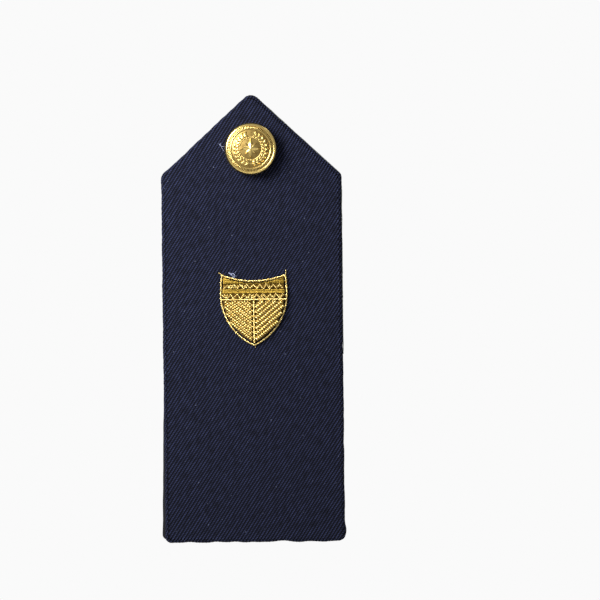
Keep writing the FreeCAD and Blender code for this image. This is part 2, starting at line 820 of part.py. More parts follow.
def cord_along(path, radius):
    """A round cord whose middle runs along the path's arcs, with a ball at each sharp corner."""
    pieces, ends = [], []
    for arc in path.Edges:
        for at in (arc.FirstParameter, arc.LastParameter):
            ends.append((arc.valueAt(at), arc.tangentAt(at)))
        start, way = ends[-2]
        section = Part.Face(Part.Wire(Part.makeCircle(radius, start, way)))
        sweep = math.degrees(arc.LastParameter - arc.FirstParameter)
        pieces.append(section.revolve(arc.Curve.Center, arc.Curve.Axis, sweep))
    for i, (corner, way) in enumerate(ends):
        for other, other_way in ends[i + 1 :]:
            if corner.isEqual(other, 1e-6) and way.cross(other_way).Length > 0.01:
                pieces.append(Part.makeSphere(radius, corner, Vector(0, 1, 0)))
    cord = pieces[0]
    for piece in pieces[1:]:
        cord = cord.fuse(piece)
    return cord


def shield_frame(across, up, forward):
    """A point from the shield's own sizes: across and up from the middle of its ears, forward of the cloth."""
    return Vector(
        value("Sizes.shield_right") + across,
        -value(FACE) - forward,
        up - value("Sizes.shield_below_post"),
    )


def slab(low, high, bottom, top):
    """A block as wide as the shield between two heights, from bottom to top in front of the cloth."""
    wide = value("Sizes.shield_waist")
    return Part.makeBox(2 * wide, top - bottom, high - low, shield_frame(-wide, low, top))


def shield():
    outline = shield_outline()
    cord = "2 * Sizes.cord_radius"
    border_path = moved_in(outline, "Sizes.cord_radius", "shield_border_path")
    border = cord_along(border_path.Shape, value("Sizes.cord_radius"))
    border.translate(Vector(0, -value("Sizes.cord_radius"), 0))
    shape_node("shield_border_cord", [border])
    raised("shield_padding", outline, "Sizes.shield_padding", f"{cord} + Sizes.hole_gap")
    stock = raised("shield_stock", outline, "3 * Sizes.shield_padding", f"{cord} + Sizes.sheet_gap").Shape
    floor = value("Sizes.shield_padding")
    top = 3 * floor
    upper = -value("Sizes.divider_drop - Sizes.divider_radius")
    lower = -value("Sizes.divider_drop + Sizes.divider_radius")
    field = stock.common(slab(-value("Sizes.shield_height"), lower, floor, top))
    chief = stock.common(slab(upper, 0, floor, top))
    bar = stock.common(slab(lower, upper, floor, top))
    spine_node(field)
    field_purls(field)
    divider(bar)
    chief_bands(stock, floor)
    chief_chips(chief)


def rods(pairs, radius):
    """Round rods between pairs of points, centred on the padding's surface."""
    made = []
    for start, end in pairs:
        made.append(Part.makeCylinder(radius, (end - start).Length, start, end - start))
    return made


def solids_in(shape, least=0.02):
    return [solid for solid in shape.Solids if solid.Volume > least]


def spine_node(field):
    """The upright cord that the slanted purls meet."""
    floor = value("Sizes.shield_padding")
    rod = rods(
        [(shield_frame(0, 0, floor), shield_frame(0, -value("Sizes.shield_height"), floor))],
        value("Sizes.divider_radius"),
    )[0]
    shape_node("shield_spine_cord", solids_in(rod.common(field)))


def field_purls(field):
    """Rows of bullion coil in a chevron, each half row its own coil."""
    floor, radius = value("Sizes.shield_padding"), value("Sizes.purl_radius")
    slope, wide = math.radians(value("Sizes.purl_slope")), value("Sizes.shield_waist")
    start_x = value("Sizes.divider_radius + Sizes.purl_radius / 2")
    spine = value("Sizes.divider_radius")
    rise = value("Sizes.purl_pitch") / math.cos(slope)
    beside = {}
    for side in (-1, 1):
        corner = shield_frame(spine if side > 0 else -2 * wide, -value("Sizes.shield_height"), 4 * floor)
        room = Part.makeBox(2 * wide - spine, 4 * floor, value("Sizes.shield_height"), corner)
        beside[side] = field.common(room)
    solids = []
    count = int((value("Sizes.shield_height") + wide * math.tan(slope)) / rise) + 1
    for k in range(count):
        up = -value("Sizes.shield_height") + (k + 0.5) * rise - wide * math.tan(slope)
        for side in (-1, 1):
            start = shield_frame(side * start_x / 2, up, floor)
            end = shield_frame(side * wide, up + (wide - start_x / 2) * math.tan(slope), floor)
            solids += solids_in(rods([(start, end)], radius)[0].common(beside[side]))
    shape_node("shield_field_purls", solids)


def divider(bar):
    floor, wide = value("Sizes.shield_padding"), value("Sizes.shield_waist")
    up = -value("Sizes.divider_drop")
    ends = (shield_frame(-wide, up, floor), shield_frame(wide, up, floor))
    rod = rods([ends], value("Sizes.divider_radius"))[0]
    shape_node("shield_divider_cord", solids_in(rod.common(bar)))


def chief_bands(stock, floor):
    """Two smooth bands of laid thread."""
    top = floor + value("Sizes.band")
    high = slab(-value("Sizes.top_band_drop"), 0, floor, top)
    low = -value("Sizes.low_band_drop + Sizes.low_band_height")
    under = slab(low, -value("Sizes.low_band_drop"), floor, top)
    shape_node("shield_smooth_bands", solids_in(stock.common(high)) + solids_in(stock.common(under)))


def chief_chips(chief):
    """Two rows of short bright coils laid in a zigzag."""
    floor, radius = value("Sizes.shield_padding"), value("Sizes.chip_radius")
    wide, pitch = value("Sizes.shield_waist"), value("Sizes.chip_pitch")
    slope, half = math.radians(value("Sizes.chip_slope")), value("Sizes.chip_length") / 2
    reach = Vector(math.cos(slope) * half, 0, math.sin(slope) * half)
    solids = []
    for drop in ("Sizes.upper_chip_drop", "Sizes.lower_chip_drop"):
        count = int(2 * wide / pitch)
        for i in range(count):
            middle = shield_frame((i - (count - 1) / 2) * pitch, -value(drop), floor)
            way = Vector(reach.x, 0, reach.z if i % 2 else -reach.z)
            solids += solids_in(rods([(middle - way, middle + way)], radius)[0].common(chief))
    shape_node("shield_zigzag_purls", clear_of_each_other(solids))


# ---- the whole board ----

NODES = [
    "stiffener_board",
    "padding_sheet",
    "twill_cover",
    "backing_lining",
    "post_eyelet",
    "eyelet_washer",
    "button_face",
    "button_back",
    "button_post",
    "button_filler",
    "nut_washer",
    "thumb_nut",
    "strap_sewn_end",
    "strap_stitches",
    "tongue_strap",
    "snap_socket",
    "snap_spring",
    "snap_cap",
    "snap_stud",
    "snap_rivet",
    "shield_padding",
    "shield_border_cord",
    "shield_divider_cord",
    "shield_spine_cord",
    "shield_field_purls",
    "shield_smooth_bands",
    "shield_zigzag_purls",
]


def build():
    stiffener_board()
    padding_sheet()
    twill_cover()
    backing_lining()
    post_eyelet()
    barrel = "Sizes.eyelet_bore + Sizes.eyelet_wall"
    ring("eyelet_washer", barrel, "Sizes.eyelet_flange_radius", "-Sizes.eyelet_lip", "-Sizes.lining")
    button_face()
    button_inside()
    ring("nut_washer", "Sizes.eyelet_bore", "Sizes.nut_radius", "Sizes.washer", "0")
    thumb_nut()
    strap_sewn_end()
    strap_stitches()
    tongue_strap()
    snap_on_tongue()
    snap_on_board()
    shield()
    doc.recompute()


def check():
    """Stops if a feature failed or a node has no valid solid."""
    for item in doc.Objects:
        if "Invalid" in item.State or "Error" in item.State:
            raise RuntimeError(f"{item.Label} is {item.State}")
    for label in NODES:
        shape = doc.getObjectsByLabel(label)[0].Shape
        if shape.isNull() or not shape.isValid() or not shape.Solids:
            raise RuntimeError(f"{label} has no valid solid")


def write():
    os.makedirs(OUT_FOLDER, exist_ok=True)
    for label in NODES:
        shape = doc.getObjectsByLabel(label)[0].Shape
        shape.exportStep(os.path.join(OUT_FOLDER, label + ".step"))
        print(f"{label}: {len(shape.Solids)} solids, {shape.Volume:.1f} mm3")


build()
check()
write()
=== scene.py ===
import math
import random

import bpy
import numpy as np
from mathutils import Matrix, Vector, noise


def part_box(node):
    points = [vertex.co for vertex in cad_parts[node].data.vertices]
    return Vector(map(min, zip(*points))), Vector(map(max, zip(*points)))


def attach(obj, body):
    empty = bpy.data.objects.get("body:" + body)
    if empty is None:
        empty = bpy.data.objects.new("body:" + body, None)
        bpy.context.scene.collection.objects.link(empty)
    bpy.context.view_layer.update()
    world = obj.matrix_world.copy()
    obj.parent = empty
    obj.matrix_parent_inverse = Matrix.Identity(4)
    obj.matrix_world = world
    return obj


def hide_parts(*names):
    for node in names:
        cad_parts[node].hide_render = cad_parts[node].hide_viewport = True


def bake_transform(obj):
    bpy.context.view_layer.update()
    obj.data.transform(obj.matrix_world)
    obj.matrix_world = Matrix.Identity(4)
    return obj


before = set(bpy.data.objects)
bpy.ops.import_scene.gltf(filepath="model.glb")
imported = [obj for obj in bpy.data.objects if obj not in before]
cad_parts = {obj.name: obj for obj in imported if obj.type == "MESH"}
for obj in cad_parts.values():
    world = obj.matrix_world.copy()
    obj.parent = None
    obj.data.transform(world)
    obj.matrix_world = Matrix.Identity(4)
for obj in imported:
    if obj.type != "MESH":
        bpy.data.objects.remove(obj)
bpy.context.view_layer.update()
mm = 0.001


def boxOf(node):  # a CAD node's box in millimetres
    low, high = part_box(node)
    return low / mm, high / mm


coverLow, coverHigh = boxOf("twill_cover")


# camera, floor and light

view = {
    "aimRight": 15.1,  # mm to the right of the screw post
    "aimDown": 48.0,
    "distance": 952.5,
    "lens": 180.0,
    "sensor": 36.0,
    "lean": 0.6,  # degrees that the board leans to the left
    "floorDrop": 325.0,
    "floorRadius": 2900.0,
}


def addCamera():
    camera = bpy.data.objects.new("camera", bpy.data.cameras.new("camera"))
    bpy.context.scene.collection.objects.link(camera)
    camera.data.lens = view["lens"]
    camera.data.sensor_width = view["sensor"]
    lean = math.radians(view["lean"])
    right = Vector((math.cos(lean), 0, -math.sin(lean)))
    up = Vector((math.sin(lean), 0, math.cos(lean)))
    place = Matrix((right, up, right.cross(up))).transposed().to_4x4()
    place.translation = Vector((view["aimRight"], coverLow.y - view["distance"], -view["aimDown"])) * mm
    camera.matrix_world = place
    bpy.context.scene.camera = camera


def addFloor(material):
    rim = [(math.cos(a), math.sin(a)) for a in np.linspace(0, 2 * math.pi, 96, endpoint=False)]
    height = (coverLow.z - view["floorDrop"]) * mm
    corners = [(x * view["floorRadius"] * mm, y * view["floorRadius"] * mm, height) for x, y in rim]
    mesh = bpy.data.meshes.new("floor")
    mesh.from_pydata(corners, [], [list(range(len(corners)))])
    mesh.materials.append(material)
    floor = bpy.data.objects.new("floor", mesh)
    bpy.context.scene.collection.objects.link(floor)


studio = {
    "backdrop": "#fafafa",
    "ambient": 0.48,  # how much of the backdrop's brightness falls on the object
    "aim": (0, 0, -0.05),  # where every lamp points, in metres
    # the key stands close by, so the left side is the lighter one
    "key": {"at": (-0.19, -0.17, 0.1), "size": 0.17, "watts": 2.5},
    "front": {"at": (-0.62, -0.95, 0.62), "size": 0.9, "watts": 4.0},
    "back": {"at": (0.5, 1.3, 0.8), "size": 1.2, "watts": 16.0},
}


def addLight(name, at, size, watts):
    lamp = bpy.data.lights.new(name, "AREA")
    lamp.size = size
    lamp.energy = watts
    light = bpy.data.objects.new(name, lamp)
    bpy.context.scene.collection.objects.link(light)
    light.location = at
    light.visible_camera = False
    aim = Vector(studio["aim"]) - Vector(at)
    light.rotation_euler = aim.to_track_quat("-Z", "Y").to_euler()


def addWorld():
    world = bpy.data.worlds.new("studio")
    bpy.context.scene.world = world
    world.use_nodes = True
    tree = world.node_tree
    tree.nodes.clear()
    backdrop = srgb(studio["backdrop"])
    seen = addNode(tree, "Background", {}, {"Color": backdrop, "Strength": 1.0})
    soft = addNode(tree, "Background", {}, {"Color": backdrop, "Strength": studio["ambient"]})
    direct = addNode(tree, "LightPath", {}, {}, "Is Camera Ray")
    mix = addNode(tree, "MixShader", {}, (direct, soft, seen))
    addNode(tree, "OutputWorld", {}, {"Surface": mix})


# node and colour helpers

def srgb(code):  # an sRGB hex colour as linear values
    parts = [int(code[i:i + 2], 16) / 255 for i in (1, 3, 5)]
    return [v / 12.92 if v <= 0.04045 else ((v + 0.055) / 1.055) ** 2.4 for v in parts] + [1.0]


def setInputs(tree, node, inputs):  # by name, or in socket order; another node's output becomes a link
    for name, value in inputs.items() if isinstance(inputs, dict) else enumerate(inputs):
        if isinstance(value, bpy.types.NodeSocket):
            tree.links.new(value, node.inputs[name])
        else:
            node.inputs[name].default_value = value


def addNode(tree, kind, settings, inputs, output=0):
    node = tree.nodes.new("ShaderNode" + kind)
    for name, value in settings.items():
        setattr(node, name, value)
    setInputs(tree, node, inputs)
    return node.outputs[output] if len(node.outputs) else None


def newMaterial(name):
    material = bpy.data.materials.new(name)
    material.use_nodes = True
    return material, material.node_tree, material.node_tree.nodes["Principled BSDF"]


plus = {"operation": "ADD"}
times = {"operation": "MULTIPLY"}
cosine = {"operation": "COSINE"}
colours = {"data_type": "RGBA"}
softNoise = {"Detail": 3.0, "Roughness": 0.55}
finerNoise = {"Detail": 4.0, "Roughness": 0.55}


# materials: a noise's scale is one over the size of its blobs

twillLook = {
    "ridge": "#292e4a",  # lit top of a wale
    "gap": "#040408",  # painted shade between two wales
    "speck": "#747a90",  # a few pale hairs in the wool
    "pitch": 0.89,  # mm from wale to wale
    "float": 0.62,  # mm of yarn seen along a wale before it dives
    "angle": 57.0,  # degrees that the wales climb to the right
}


def woolTwill():
    # worsted wool and polyester twill, dyed in the piece and pressed: matt, with painted light on the wales
    # and painted shade in the gaps
    material, tree, shader = newMaterial("worsted_twill_pressed")
    weave = addNode(tree, "Attribute", {"attribute_name": "weave"}, {}, "Vector")
    across, along, _ = addNode(tree, "SeparateXYZ", {}, (weave,)).node.outputs
    phase = addNode(tree, "Math", times, (across, 2 * math.pi / twillLook["pitch"]))
    ridge = addNode(tree, "Math", cosine, (phase,))
    ridge = addNode(tree, "MapRange", {}, (ridge, -0.6, 0.9))
    turn = addNode(tree, "Math", times, (along, 2 * math.pi / twillLook["float"]))
    slant = addNode(tree, "Math", times, (phase, 0.5))
    yarn = addNode(tree, "Math", plus, (turn, slant))
    yarn = addNode(tree, "Math", cosine, (yarn,))
    yarn = addNode(tree, "MapRange", {}, (yarn, -1.0, 0.6, 0.2, 1.0))
    raised = addNode(tree, "Math", times, (ridge, yarn))
    stretched = addNode(tree, "VectorMath", times, (weave, (1.4, 0.35, 1.0)))
    uneven = addNode(tree, "TexNoise", {}, {"Vector": stretched, "Scale": 1.0, "Detail": 3.0})
    wear = addNode(tree, "MapRange", {}, (uneven, 0.3, 0.7, 0.35, 1.25))
    tone = addNode(tree, "Math", times, (raised, wear))
    gap, lit, pale = [srgb(twillLook[name]) for name in ("gap", "ridge", "speck")]
    # colour runs from painted shade in the gaps and where the yarn dives to painted light on the wale tops
    colour = addNode(tree, "Mix", colours, {0: tone, 6: gap, 7: lit}, 2)
    hairs = addNode(tree, "TexVoronoi", {}, {"Vector": weave, "Scale": 0.42}, "Distance")
    hairs = addNode(tree, "MapRange", {}, (hairs, 0.085, 0.05))
    some = addNode(tree, "MapRange", {}, (uneven, 0.45, 0.6))
    fleck = addNode(tree, "Math", times, (hairs, some))
    fleck = addNode(tree, "Math", times, (fleck, 0.4))
    colour = addNode(tree, "Mix", colours, {0: fleck, 6: colour, 7: pale}, 2)
    relief = addNode(tree, "Bump", {}, {"Height": raised, "Distance": 0.11 * mm})
    setInputs(tree, shader, {
        "Base Color": colour, "Roughness": 0.85, "Specular IOR Level": 0.08, "Normal": relief})
    return material


def cottonLining():
    # black cotton lining, plain woven and pressed: flat black with a faint grid of threads
    material, tree, shader = newMaterial("cotton_lining_woven")
    where = addNode(tree, "TexCoord", {}, {}, "Object")
    x, _, z = addNode(tree, "SeparateXYZ", {}, (where,)).node.outputs
    threads = []
    for axis in (x, z):  # threads 0.45 mm apart, drawn about twice as coarse as real ones so that they show
        phase = addNode(tree, "Math", times, (axis, 2 * math.pi / (0.45 * mm)))
        threads.append(addNode(tree, "Math", {"operation": "SINE"}, (phase,)))
    weave = addNode(tree, "Math", times, threads)
    worn = addNode(tree, "TexNoise", {}, {"Vector": where, "Scale": 1 / (9.0 * mm), **softNoise})
    grid = addNode(tree, "MapRange", {}, (weave, -1.0, 1.0, 0.0, 0.45))
    worn = addNode(tree, "MapRange", {}, (worn, 0.35, 0.7, 0.0, 0.22))
    tone = addNode(tree, "Math", plus, (grid, worn))
    colour = addNode(tree, "Mix", colours, {0: tone, 6: srgb("#09090b"), 7: srgb("#27272c")}, 2)
    relief = addNode(tree, "Bump", {}, {"Height": weave, "Distance": 0.04 * mm})
    setInputs(tree, shader, {
        "Base Color": colour, "Roughness": 0.8, "Specular IOR Level": 0.12, "Normal": relief})
    return material


def bridleLeather():
    # black bridle leather, drum dyed and waxed: fine grain with painted shade in the creases, a soft wax
    # shine on the high spots
    material, tree, shader = newMaterial("bridle_leather_waxed")
    where = addNode(tree, "TexCoord", {}, {}, "Object")
    bent = addNode(tree, "TexNoise", {}, {"Vector": where, "Scale": 380.0, "Detail": 2.0}, "Color")
    bent = addNode(tree, "VectorMath", {"operation": "SCALE"}, {0: bent, "Scale": 0.5 * mm})
    bent = addNode(tree, "VectorMath", plus, (where, bent))
    grain = {"Vector": bent, "Scale": 1 / (0.6 * mm)}  # pebbles 0.6 mm across
    pebble = addNode(tree, "TexVoronoi", {"feature": "DISTANCE_TO_EDGE"}, grain, "Distance")
    pebble = addNode(tree, "MapRange", {}, (pebble, 0.0, 0.3))
    worn = addNode(tree, "TexNoise", {}, {"Vector": where, "Scale": 1 / (5.0 * mm), **softNoise})
    worn = addNode(tree, "MapRange", {}, (worn, 0.3, 0.75, 0.35, 1.0))
    tone = addNode(tree, "Math", times, (pebble, worn))
    # painted shade: the colour darkens towards the creases between the pebbles
    colour = addNode(tree, "Mix", colours, {0: tone, 6: srgb("#080707"), 7: srgb("#1f1c1a")}, 2)
    rough = addNode(tree, "MapRange", {}, (tone, 0.0, 1.0, 0.6, 0.3))
    relief = addNode(tree, "Bump", {}, {"Height": pebble, "Distance": 0.05 * mm, "Strength": 0.8})
    setInputs(tree, shader, {
        "Base Color": colour, "Roughness": rough, "Specular IOR Level": 0.35,
        "Coat Weight": 0.06, "Coat Roughness": 0.3, "Normal": relief})
    return material


def polyesterThread(name, dark, light):
    # bonded polyester sewing thread, twisted: a painted highlight along each ply's crest and painted shade
    # between the plies
    material, tree, shader = newMaterial(name)
    ply = addNode(tree, "Attribute", {"attribute_name": "ply"}, {}, "Fac")
    where = addNode(tree, "TexCoord", {}, {}, "Object")
    uneven = addNode(tree, "TexNoise", {}, {"Vector": where, "Scale": 1 / (0.5 * mm), **softNoise})
    uneven = addNode(tree, "MapRange", {}, (uneven, 0.3, 0.7, 0.5, 1.0))
    # ply carries painted light on the crests of a twisted tube and painted shade in its grooves
    tone = addNode(tree, "Math", times, (ply, uneven))
    colour = addNode(tree, "Mix", colours, {0: tone, 6: srgb(dark), 7: srgb(light)}, 2)
    fuzz = addNode(tree, "TexNoise", {}, {"Vector": where, "Scale": 1 / (0.12 * mm), **softNoise})
    relief = addNode(tree, "Bump", {}, {"Height": fuzz, "Distance": 0.02 * mm})
    setInputs(tree, shader, {
        "Base Color": colour, "Roughness": 0.5, "Specular IOR Level": 0.4, "Normal": relief})
    return material


def giltBrass():
    # stamped brass, gold plated and burnished: bright on the high relief, warm brown in the hollows; the
    # brown is partly antique toning and partly painted shade
    material, tree, shader = newMaterial("gilt_brass_burnished")
    where = addNode(tree, "TexCoord", {}, {}, "Object")
    polishAndShade = addNode(tree, "Attribute", {"attribute_name": "polishAndShade"}, {}, "Fac")
    grime = addNode(tree, "TexNoise", {}, {"Vector": where, "Scale": 1 / (1.1 * mm), **finerNoise})
    grime = addNode(tree, "MapRange", {}, (grime, 0.35, 0.7, -0.12, 0.12))
    tone = addNode(tree, "Math", plus, (polishAndShade, grime))
    share = addNode(tree, "MapRange", {}, (tone, 0.05, 0.85))
    # the dark brown in the low relief is partly toning and partly painted shade
    colour = addNode(tree, "Mix", colours, {0: share, 6: srgb("#543a10"), 7: srgb("#e0c478")}, 2)
    rough = addNode(tree, "MapRange", {}, (tone, 0.1, 0.9, 0.46, 0.2))
    pits = addNode(tree, "TexNoise", {}, {"Vector": where, "Scale": 1 / (0.22 * mm), **softNoise})
    relief = addNode(tree, "Bump", {}, {"Height": pits, "Distance": 0.012 * mm})
    setInputs(tree, shader, {"Base Color": colour, "Metallic": 1.0, "Roughness": rough, "Normal": relief})
    return material


def drawnMetal(name, dark, light, rough, grain):
    # sheet or rod metal, turned or pressed: even colour with faint lines of work and dulled patches
    material, tree, shader = newMaterial(name)
    where = addNode(tree, "TexCoord", {}, {}, "Object")
    dulled = addNode(tree, "TexNoise", {}, {"Vector": where, "Scale": 1 / (2.4 * mm), **finerNoise})
    share = addNode(tree, "MapRange", {}, (dulled, 0.3, 0.7))
    colour = addNode(tree, "Mix", colours, {0: share, 6: srgb(dark), 7: srgb(light)}, 2)
    sheen = addNode(tree, "MapRange", {}, (dulled, 0.3, 0.7, rough + 0.12, rough - 0.05))
    rings = {"wave_type": "RINGS", "rings_direction": "Y"}
    lines = {"Vector": where, "Scale": 1 / (grain * mm * 2 * math.pi), "Distortion": 1.5}
    lines = addNode(tree, "TexWave", rings, lines, "Fac")
    relief = addNode(tree, "Bump", {}, {"Height": lines, "Distance": 0.01 * mm, "Strength": 0.6})
    setInputs(tree, shader, {"Base Color": colour, "Metallic": 1.0, "Roughness": sheen, "Normal": relief})
    return material


def stoveEnamel():
    # black stoving enamel on pressed brass: smooth gloss with rubbed spots and faint dust
    material, tree, shader = newMaterial("stove_enamel_black")
    where = addNode(tree, "TexCoord", {}, {}, "Object")
    rubbed = addNode(tree, "TexNoise", {}, {"Vector": where, "Scale": 1 / (1.8 * mm), **finerNoise})
    share = addNode(tree, "MapRange", {}, (rubbed, 0.45, 0.75))
    colour = addNode(tree, "Mix", colours, {0: share, 6: srgb("#070707"), 7: srgb("#26241f")}, 2)
    rough = addNode(tree, "MapRange", {}, (rubbed, 0.3, 0.75, 0.2, 0.42))
    dust = addNode(tree, "TexNoise", {}, {"Vector": where, "Scale": 1 / (0.7 * mm), **softNoise})
    relief = addNode(tree, "Bump", {}, {"Height": dust, "Distance": 0.015 * mm})
    setInputs(tree, shader, {
        "Base Color": colour, "Roughness": rough, "Normal": relief,
        "Coat Weight": 0.5, "Coat Roughness": 0.12})
    return material


def goldBullion(name, dark, light, rough, wire):
    # gilt silver wire coiled into purl, or wound on thread: painted highlights on the turns and crests, with
    # painted brown shade in the hollows between them
    material, tree, shader = newMaterial(name)
    turn = addNode(tree, "Attribute", {"attribute_name": "turn"}, {}, "Vector")
    crown = addNode(tree, "Attribute", {"attribute_name": "ply"}, {}, "Fac")
    along, around, _ = addNode(tree, "SeparateXYZ", {}, (turn,)).node.outputs
    # single wires are 0.1 mm and finer, so their turns are drawn as coarse as shows
    winding = addNode(tree, "Math", times, (along, 2 * math.pi / wire))
    winding = addNode(tree, "Math", {"operation": "SUBTRACT"}, (winding, around))
    winding = addNode(tree, "Math", cosine, (winding,))
    wires = addNode(tree, "MapRange", {}, (winding, -1.0, 1.0))
    where = addNode(tree, "TexCoord", {}, {}, "Object")
    mottled = addNode(tree, "TexNoise", {}, {"Vector": where, "Scale": 1 / (0.35 * mm), **softNoise})
    mottled = addNode(tree, "MapRange", {}, (mottled, 0.35, 0.65, -0.25, 0.25))
    # painted light on the wire turns and on the crests of the plies, painted shade between them
    lit = addNode(tree, "MapRange", {}, (wires, 0.0, 1.0, 0.6, 1.0))
    lit = addNode(tree, "Math", times, (crown, lit))
    tone = addNode(tree, "Math", plus, (lit, mottled))
    share = addNode(tree, "MapRange", {}, (tone, 0.1, 0.85))
    colour = addNode(tree, "Mix", colours, {0: share, 6: srgb(dark), 7: srgb(light)}, 2)
    sheen = addNode(tree, "MapRange", {}, (tone, 0.1, 0.9, rough + 0.18, rough))
    relief = addNode(tree, "Bump", {}, {"Height": wires, "Distance": 0.05 * mm})
    setInputs(tree, shader, {"Base Color": colour, "Metallic": 1.0, "Roughness": sheen, "Normal": relief})
    return material


def matted(name, dark, light, size, tooth=True):
    # felted, foamed or pressed stock: dull, with blotches of the given size and a fine tooth
    material, tree, shader = newMaterial(name)
    where = addNode(tree, "TexCoord", {}, {}, "Object")
    blotch = {"Vector": where, "Scale": 1 / (size * mm), "Detail": 5.0, "Roughness": 0.7}
    share = addNode(tree, "MapRange", {}, (addNode(tree, "TexNoise", {}, blotch), 0.3, 0.7))
    colour = addNode(tree, "Mix", colours, {0: share, 6: srgb(dark), 7: srgb(light)}, 2)
    setInputs(tree, shader, {"Base Color": colour, "Roughness": 0.9, "Specular IOR Level": 0.2})
    if tooth:
        fine = addNode(tree, "TexNoise", {}, {"Vector": where, "Scale": 1 / (size / 5 * mm), **softNoise})
        relief = addNode(tree, "Bump", {}, {"Height": fine, "Distance": size / 20 * mm})
        setInputs(tree, shader, {"Normal": relief})
    return material


print("materials")
finishes = {
    "twill": woolTwill(),
    "lining": cottonLining(),
    "leather": bridleLeather(),
    "thread": polyesterThread("polyester_thread_black", "#060606", "#2c2c2e"),
    "lint": polyesterThread("wool_lint_loose", "#7d86a6", "#a9b0c8"),
    "gilt": giltBrass(),
    "brass": drawnMetal("brass_turned", "#a8843c", "#d8b467", 0.32, 0.25),
    "nickel": drawnMetal("nickel_plate_bright", "#a9a69c", "#d6d3c8", 0.24, 0.3),
    "bronze": drawnMetal("phosphor_bronze_drawn", "#8c5a2c", "#c58f52", 0.35, 0.2),
    "enamel": stoveEnamel(),
    "purl": goldBullion("gilt_wire_purl", "#745210", "#f8e190", 0.3, 0.26),
    "cord": goldBullion("gilt_thread_twisted", "#9a7018", "#fff0a6", 0.3, 0.3),
    "laid": goldBullion("gilt_thread_laid", "#46340c", "#b99a42", 0.42, 0.4),
    # the felt is a darkened ochre, partly its own colour and partly painted shade, so the gaps beside the
    # edging cord look dark
    "felt": matted("wool_felt_pressed", "#3a2a08", "#6e5216", 1.2),
    "board": matted("millboard_pressed", "#55534e", "#77746d", 2.0),
    "interlining": matted("interlining_fused", "#7f867e", "#b9c0b4", 0.8),
    "foam": matted("pe_foam_sliced", "#cfcdc6", "#ecebe6", 0.9),
    "straw": matted("strawboard_pressed", "#8c7646", "#b49c66", 1.6),
    "paper": matted("painted_floor_matt", "#f1f1f0", "#f6f6f5", 400.0, tooth=False),
}


# mesh helpers: every point is (x, forward, z) in mm, and forward counts from the board's back plane
# towards the viewer

def addPiece(name, points, faces, finish, body):
    mesh = bpy.data.meshes.new(name)
    mesh.from_pydata([(x * mm, -forward * mm, z * mm) for x, forward, z in points], [], faces)
    mesh.validate()
    mesh.materials.append(finishes[finish])
    mesh.polygons.foreach_set("use_smooth", [True] * len(mesh.polygons))
    mesh.update()
    piece = bpy.data.objects.new(name, mesh)
    bpy.context.scene.collection.objects.link(piece)
    if body:
        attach(piece, body)
    return piece


def addAttribute(piece, name, kind, values):
    attribute = piece.data.attributes.new(name, kind, "POINT")
    field = "value" if kind == "FLOAT" else "vector"
    attribute.data.foreach_set(field, np.asarray(values, np.float32).ravel())


def ringFaces(rings, count, start=0, closed=False):  # quads between rings of count points each
    faces = []
    for ring in range(rings - (0 if closed else 1)):
        low = start + ring * count
        high = start + ((ring + 1) % rings) * count
        for i in range(count):
            j = (i + 1) % count
            faces.append((low + i, low + j, high + j, high + i))
    return faces


def closedFaces(rings, count):  # the same with a face over each end
    ends = [tuple(reversed(range(count))), tuple((rings - 1) * count + i for i in range(count))]
    return ringFaces(rings, count) + ends


class Mould:  # gathers tubes and rods into one mesh
    def __init__(self):
        self.points = []
        self.faces = []
        self.ply = []
        self.turn = []

    def tube(self, line, radius, lobes=0, pitch=1.0, depth=0.0, sides=10, closed=False, hand=1, tone=0.8):
        # a tube along line; its radius swells by depth in a helix of the given pitch, with so many lobes
        start = len(self.points)
        count = len(line)
        along = 0.0
        normal = Vector((0, 1, 0))
        for i, point in enumerate(line):
            before = line[i - 1] if closed or i else point
            after = line[(i + 1) % count] if closed or i < count - 1 else point
            step = (after - before).normalized()
            side = step.cross(normal).normalized()
            up = side.cross(step).normalized()
            if i:
                along += (point - line[i - 1]).length
            for k in range(sides):
                angle = 2 * math.pi * k / sides
                crest = math.cos(lobes * hand * angle - 2 * math.pi * along / pitch) if lobes else 0.0
                reach = radius * (1 - depth + depth * crest)
                where = point + side * (reach * math.cos(angle)) + up * (reach * math.sin(angle))
                self.points.append(where)
                # ply: painted light on the helix crests and painted shade in the grooves; a tube without
                # lobes gets its own even tone
                self.ply.append(0.5 + 0.5 * crest if lobes else tone)
                self.turn.append((along, angle, 0.0))
        self.faces += ringFaces(count, sides, start, closed)
        if not closed:
            self.faces.append(tuple(start + k for k in reversed(range(sides))))
            self.faces.append(tuple(start + (count - 1) * sides + k for k in range(sides)))

    def piece(self, name, finish, body):
        made = addPiece(name, self.points, self.faces, finish, body)
        addAttribute(made, "ply", "FLOAT", self.ply)
        addAttribute(made, "turn", "FLOAT_VECTOR", self.turn)
        return made


def divided(a, b, step):
    count = max(2, math.ceil((b - a).length / step) + 1)
    return [a.lerp(b, i / (count - 1)) for i in range(count)]


def arcPoints(a, b, radius, step):
    # an arc in the board's plane from a to b, bulging to the right of the way there
    chord = b - a
    half = chord.length / 2
    middle = (a + b) / 2
    away = Vector((chord.y, -chord.x)).normalized()
    centre = middle - away * math.copysign(math.sqrt(radius * radius - half * half), radius)
    startAngle = math.atan2(a.y - centre.y, a.x - centre.x)
    turn = math.atan2(b.y - centre.y, b.x - centre.x) - startAngle
    turn = (turn + math.pi) % (2 * math.pi) - math.pi
    count = max(2, math.ceil(abs(turn * radius) / step))
    spokes = [startAngle + turn * i / count for i in range(count)]
    return [centre + abs(radius) * Vector((math.cos(t), math.sin(t))) for t in spokes]


# rounded outlines in the board's plane: a station counts corners, and its first half is the arc, its
# second half the side that follows

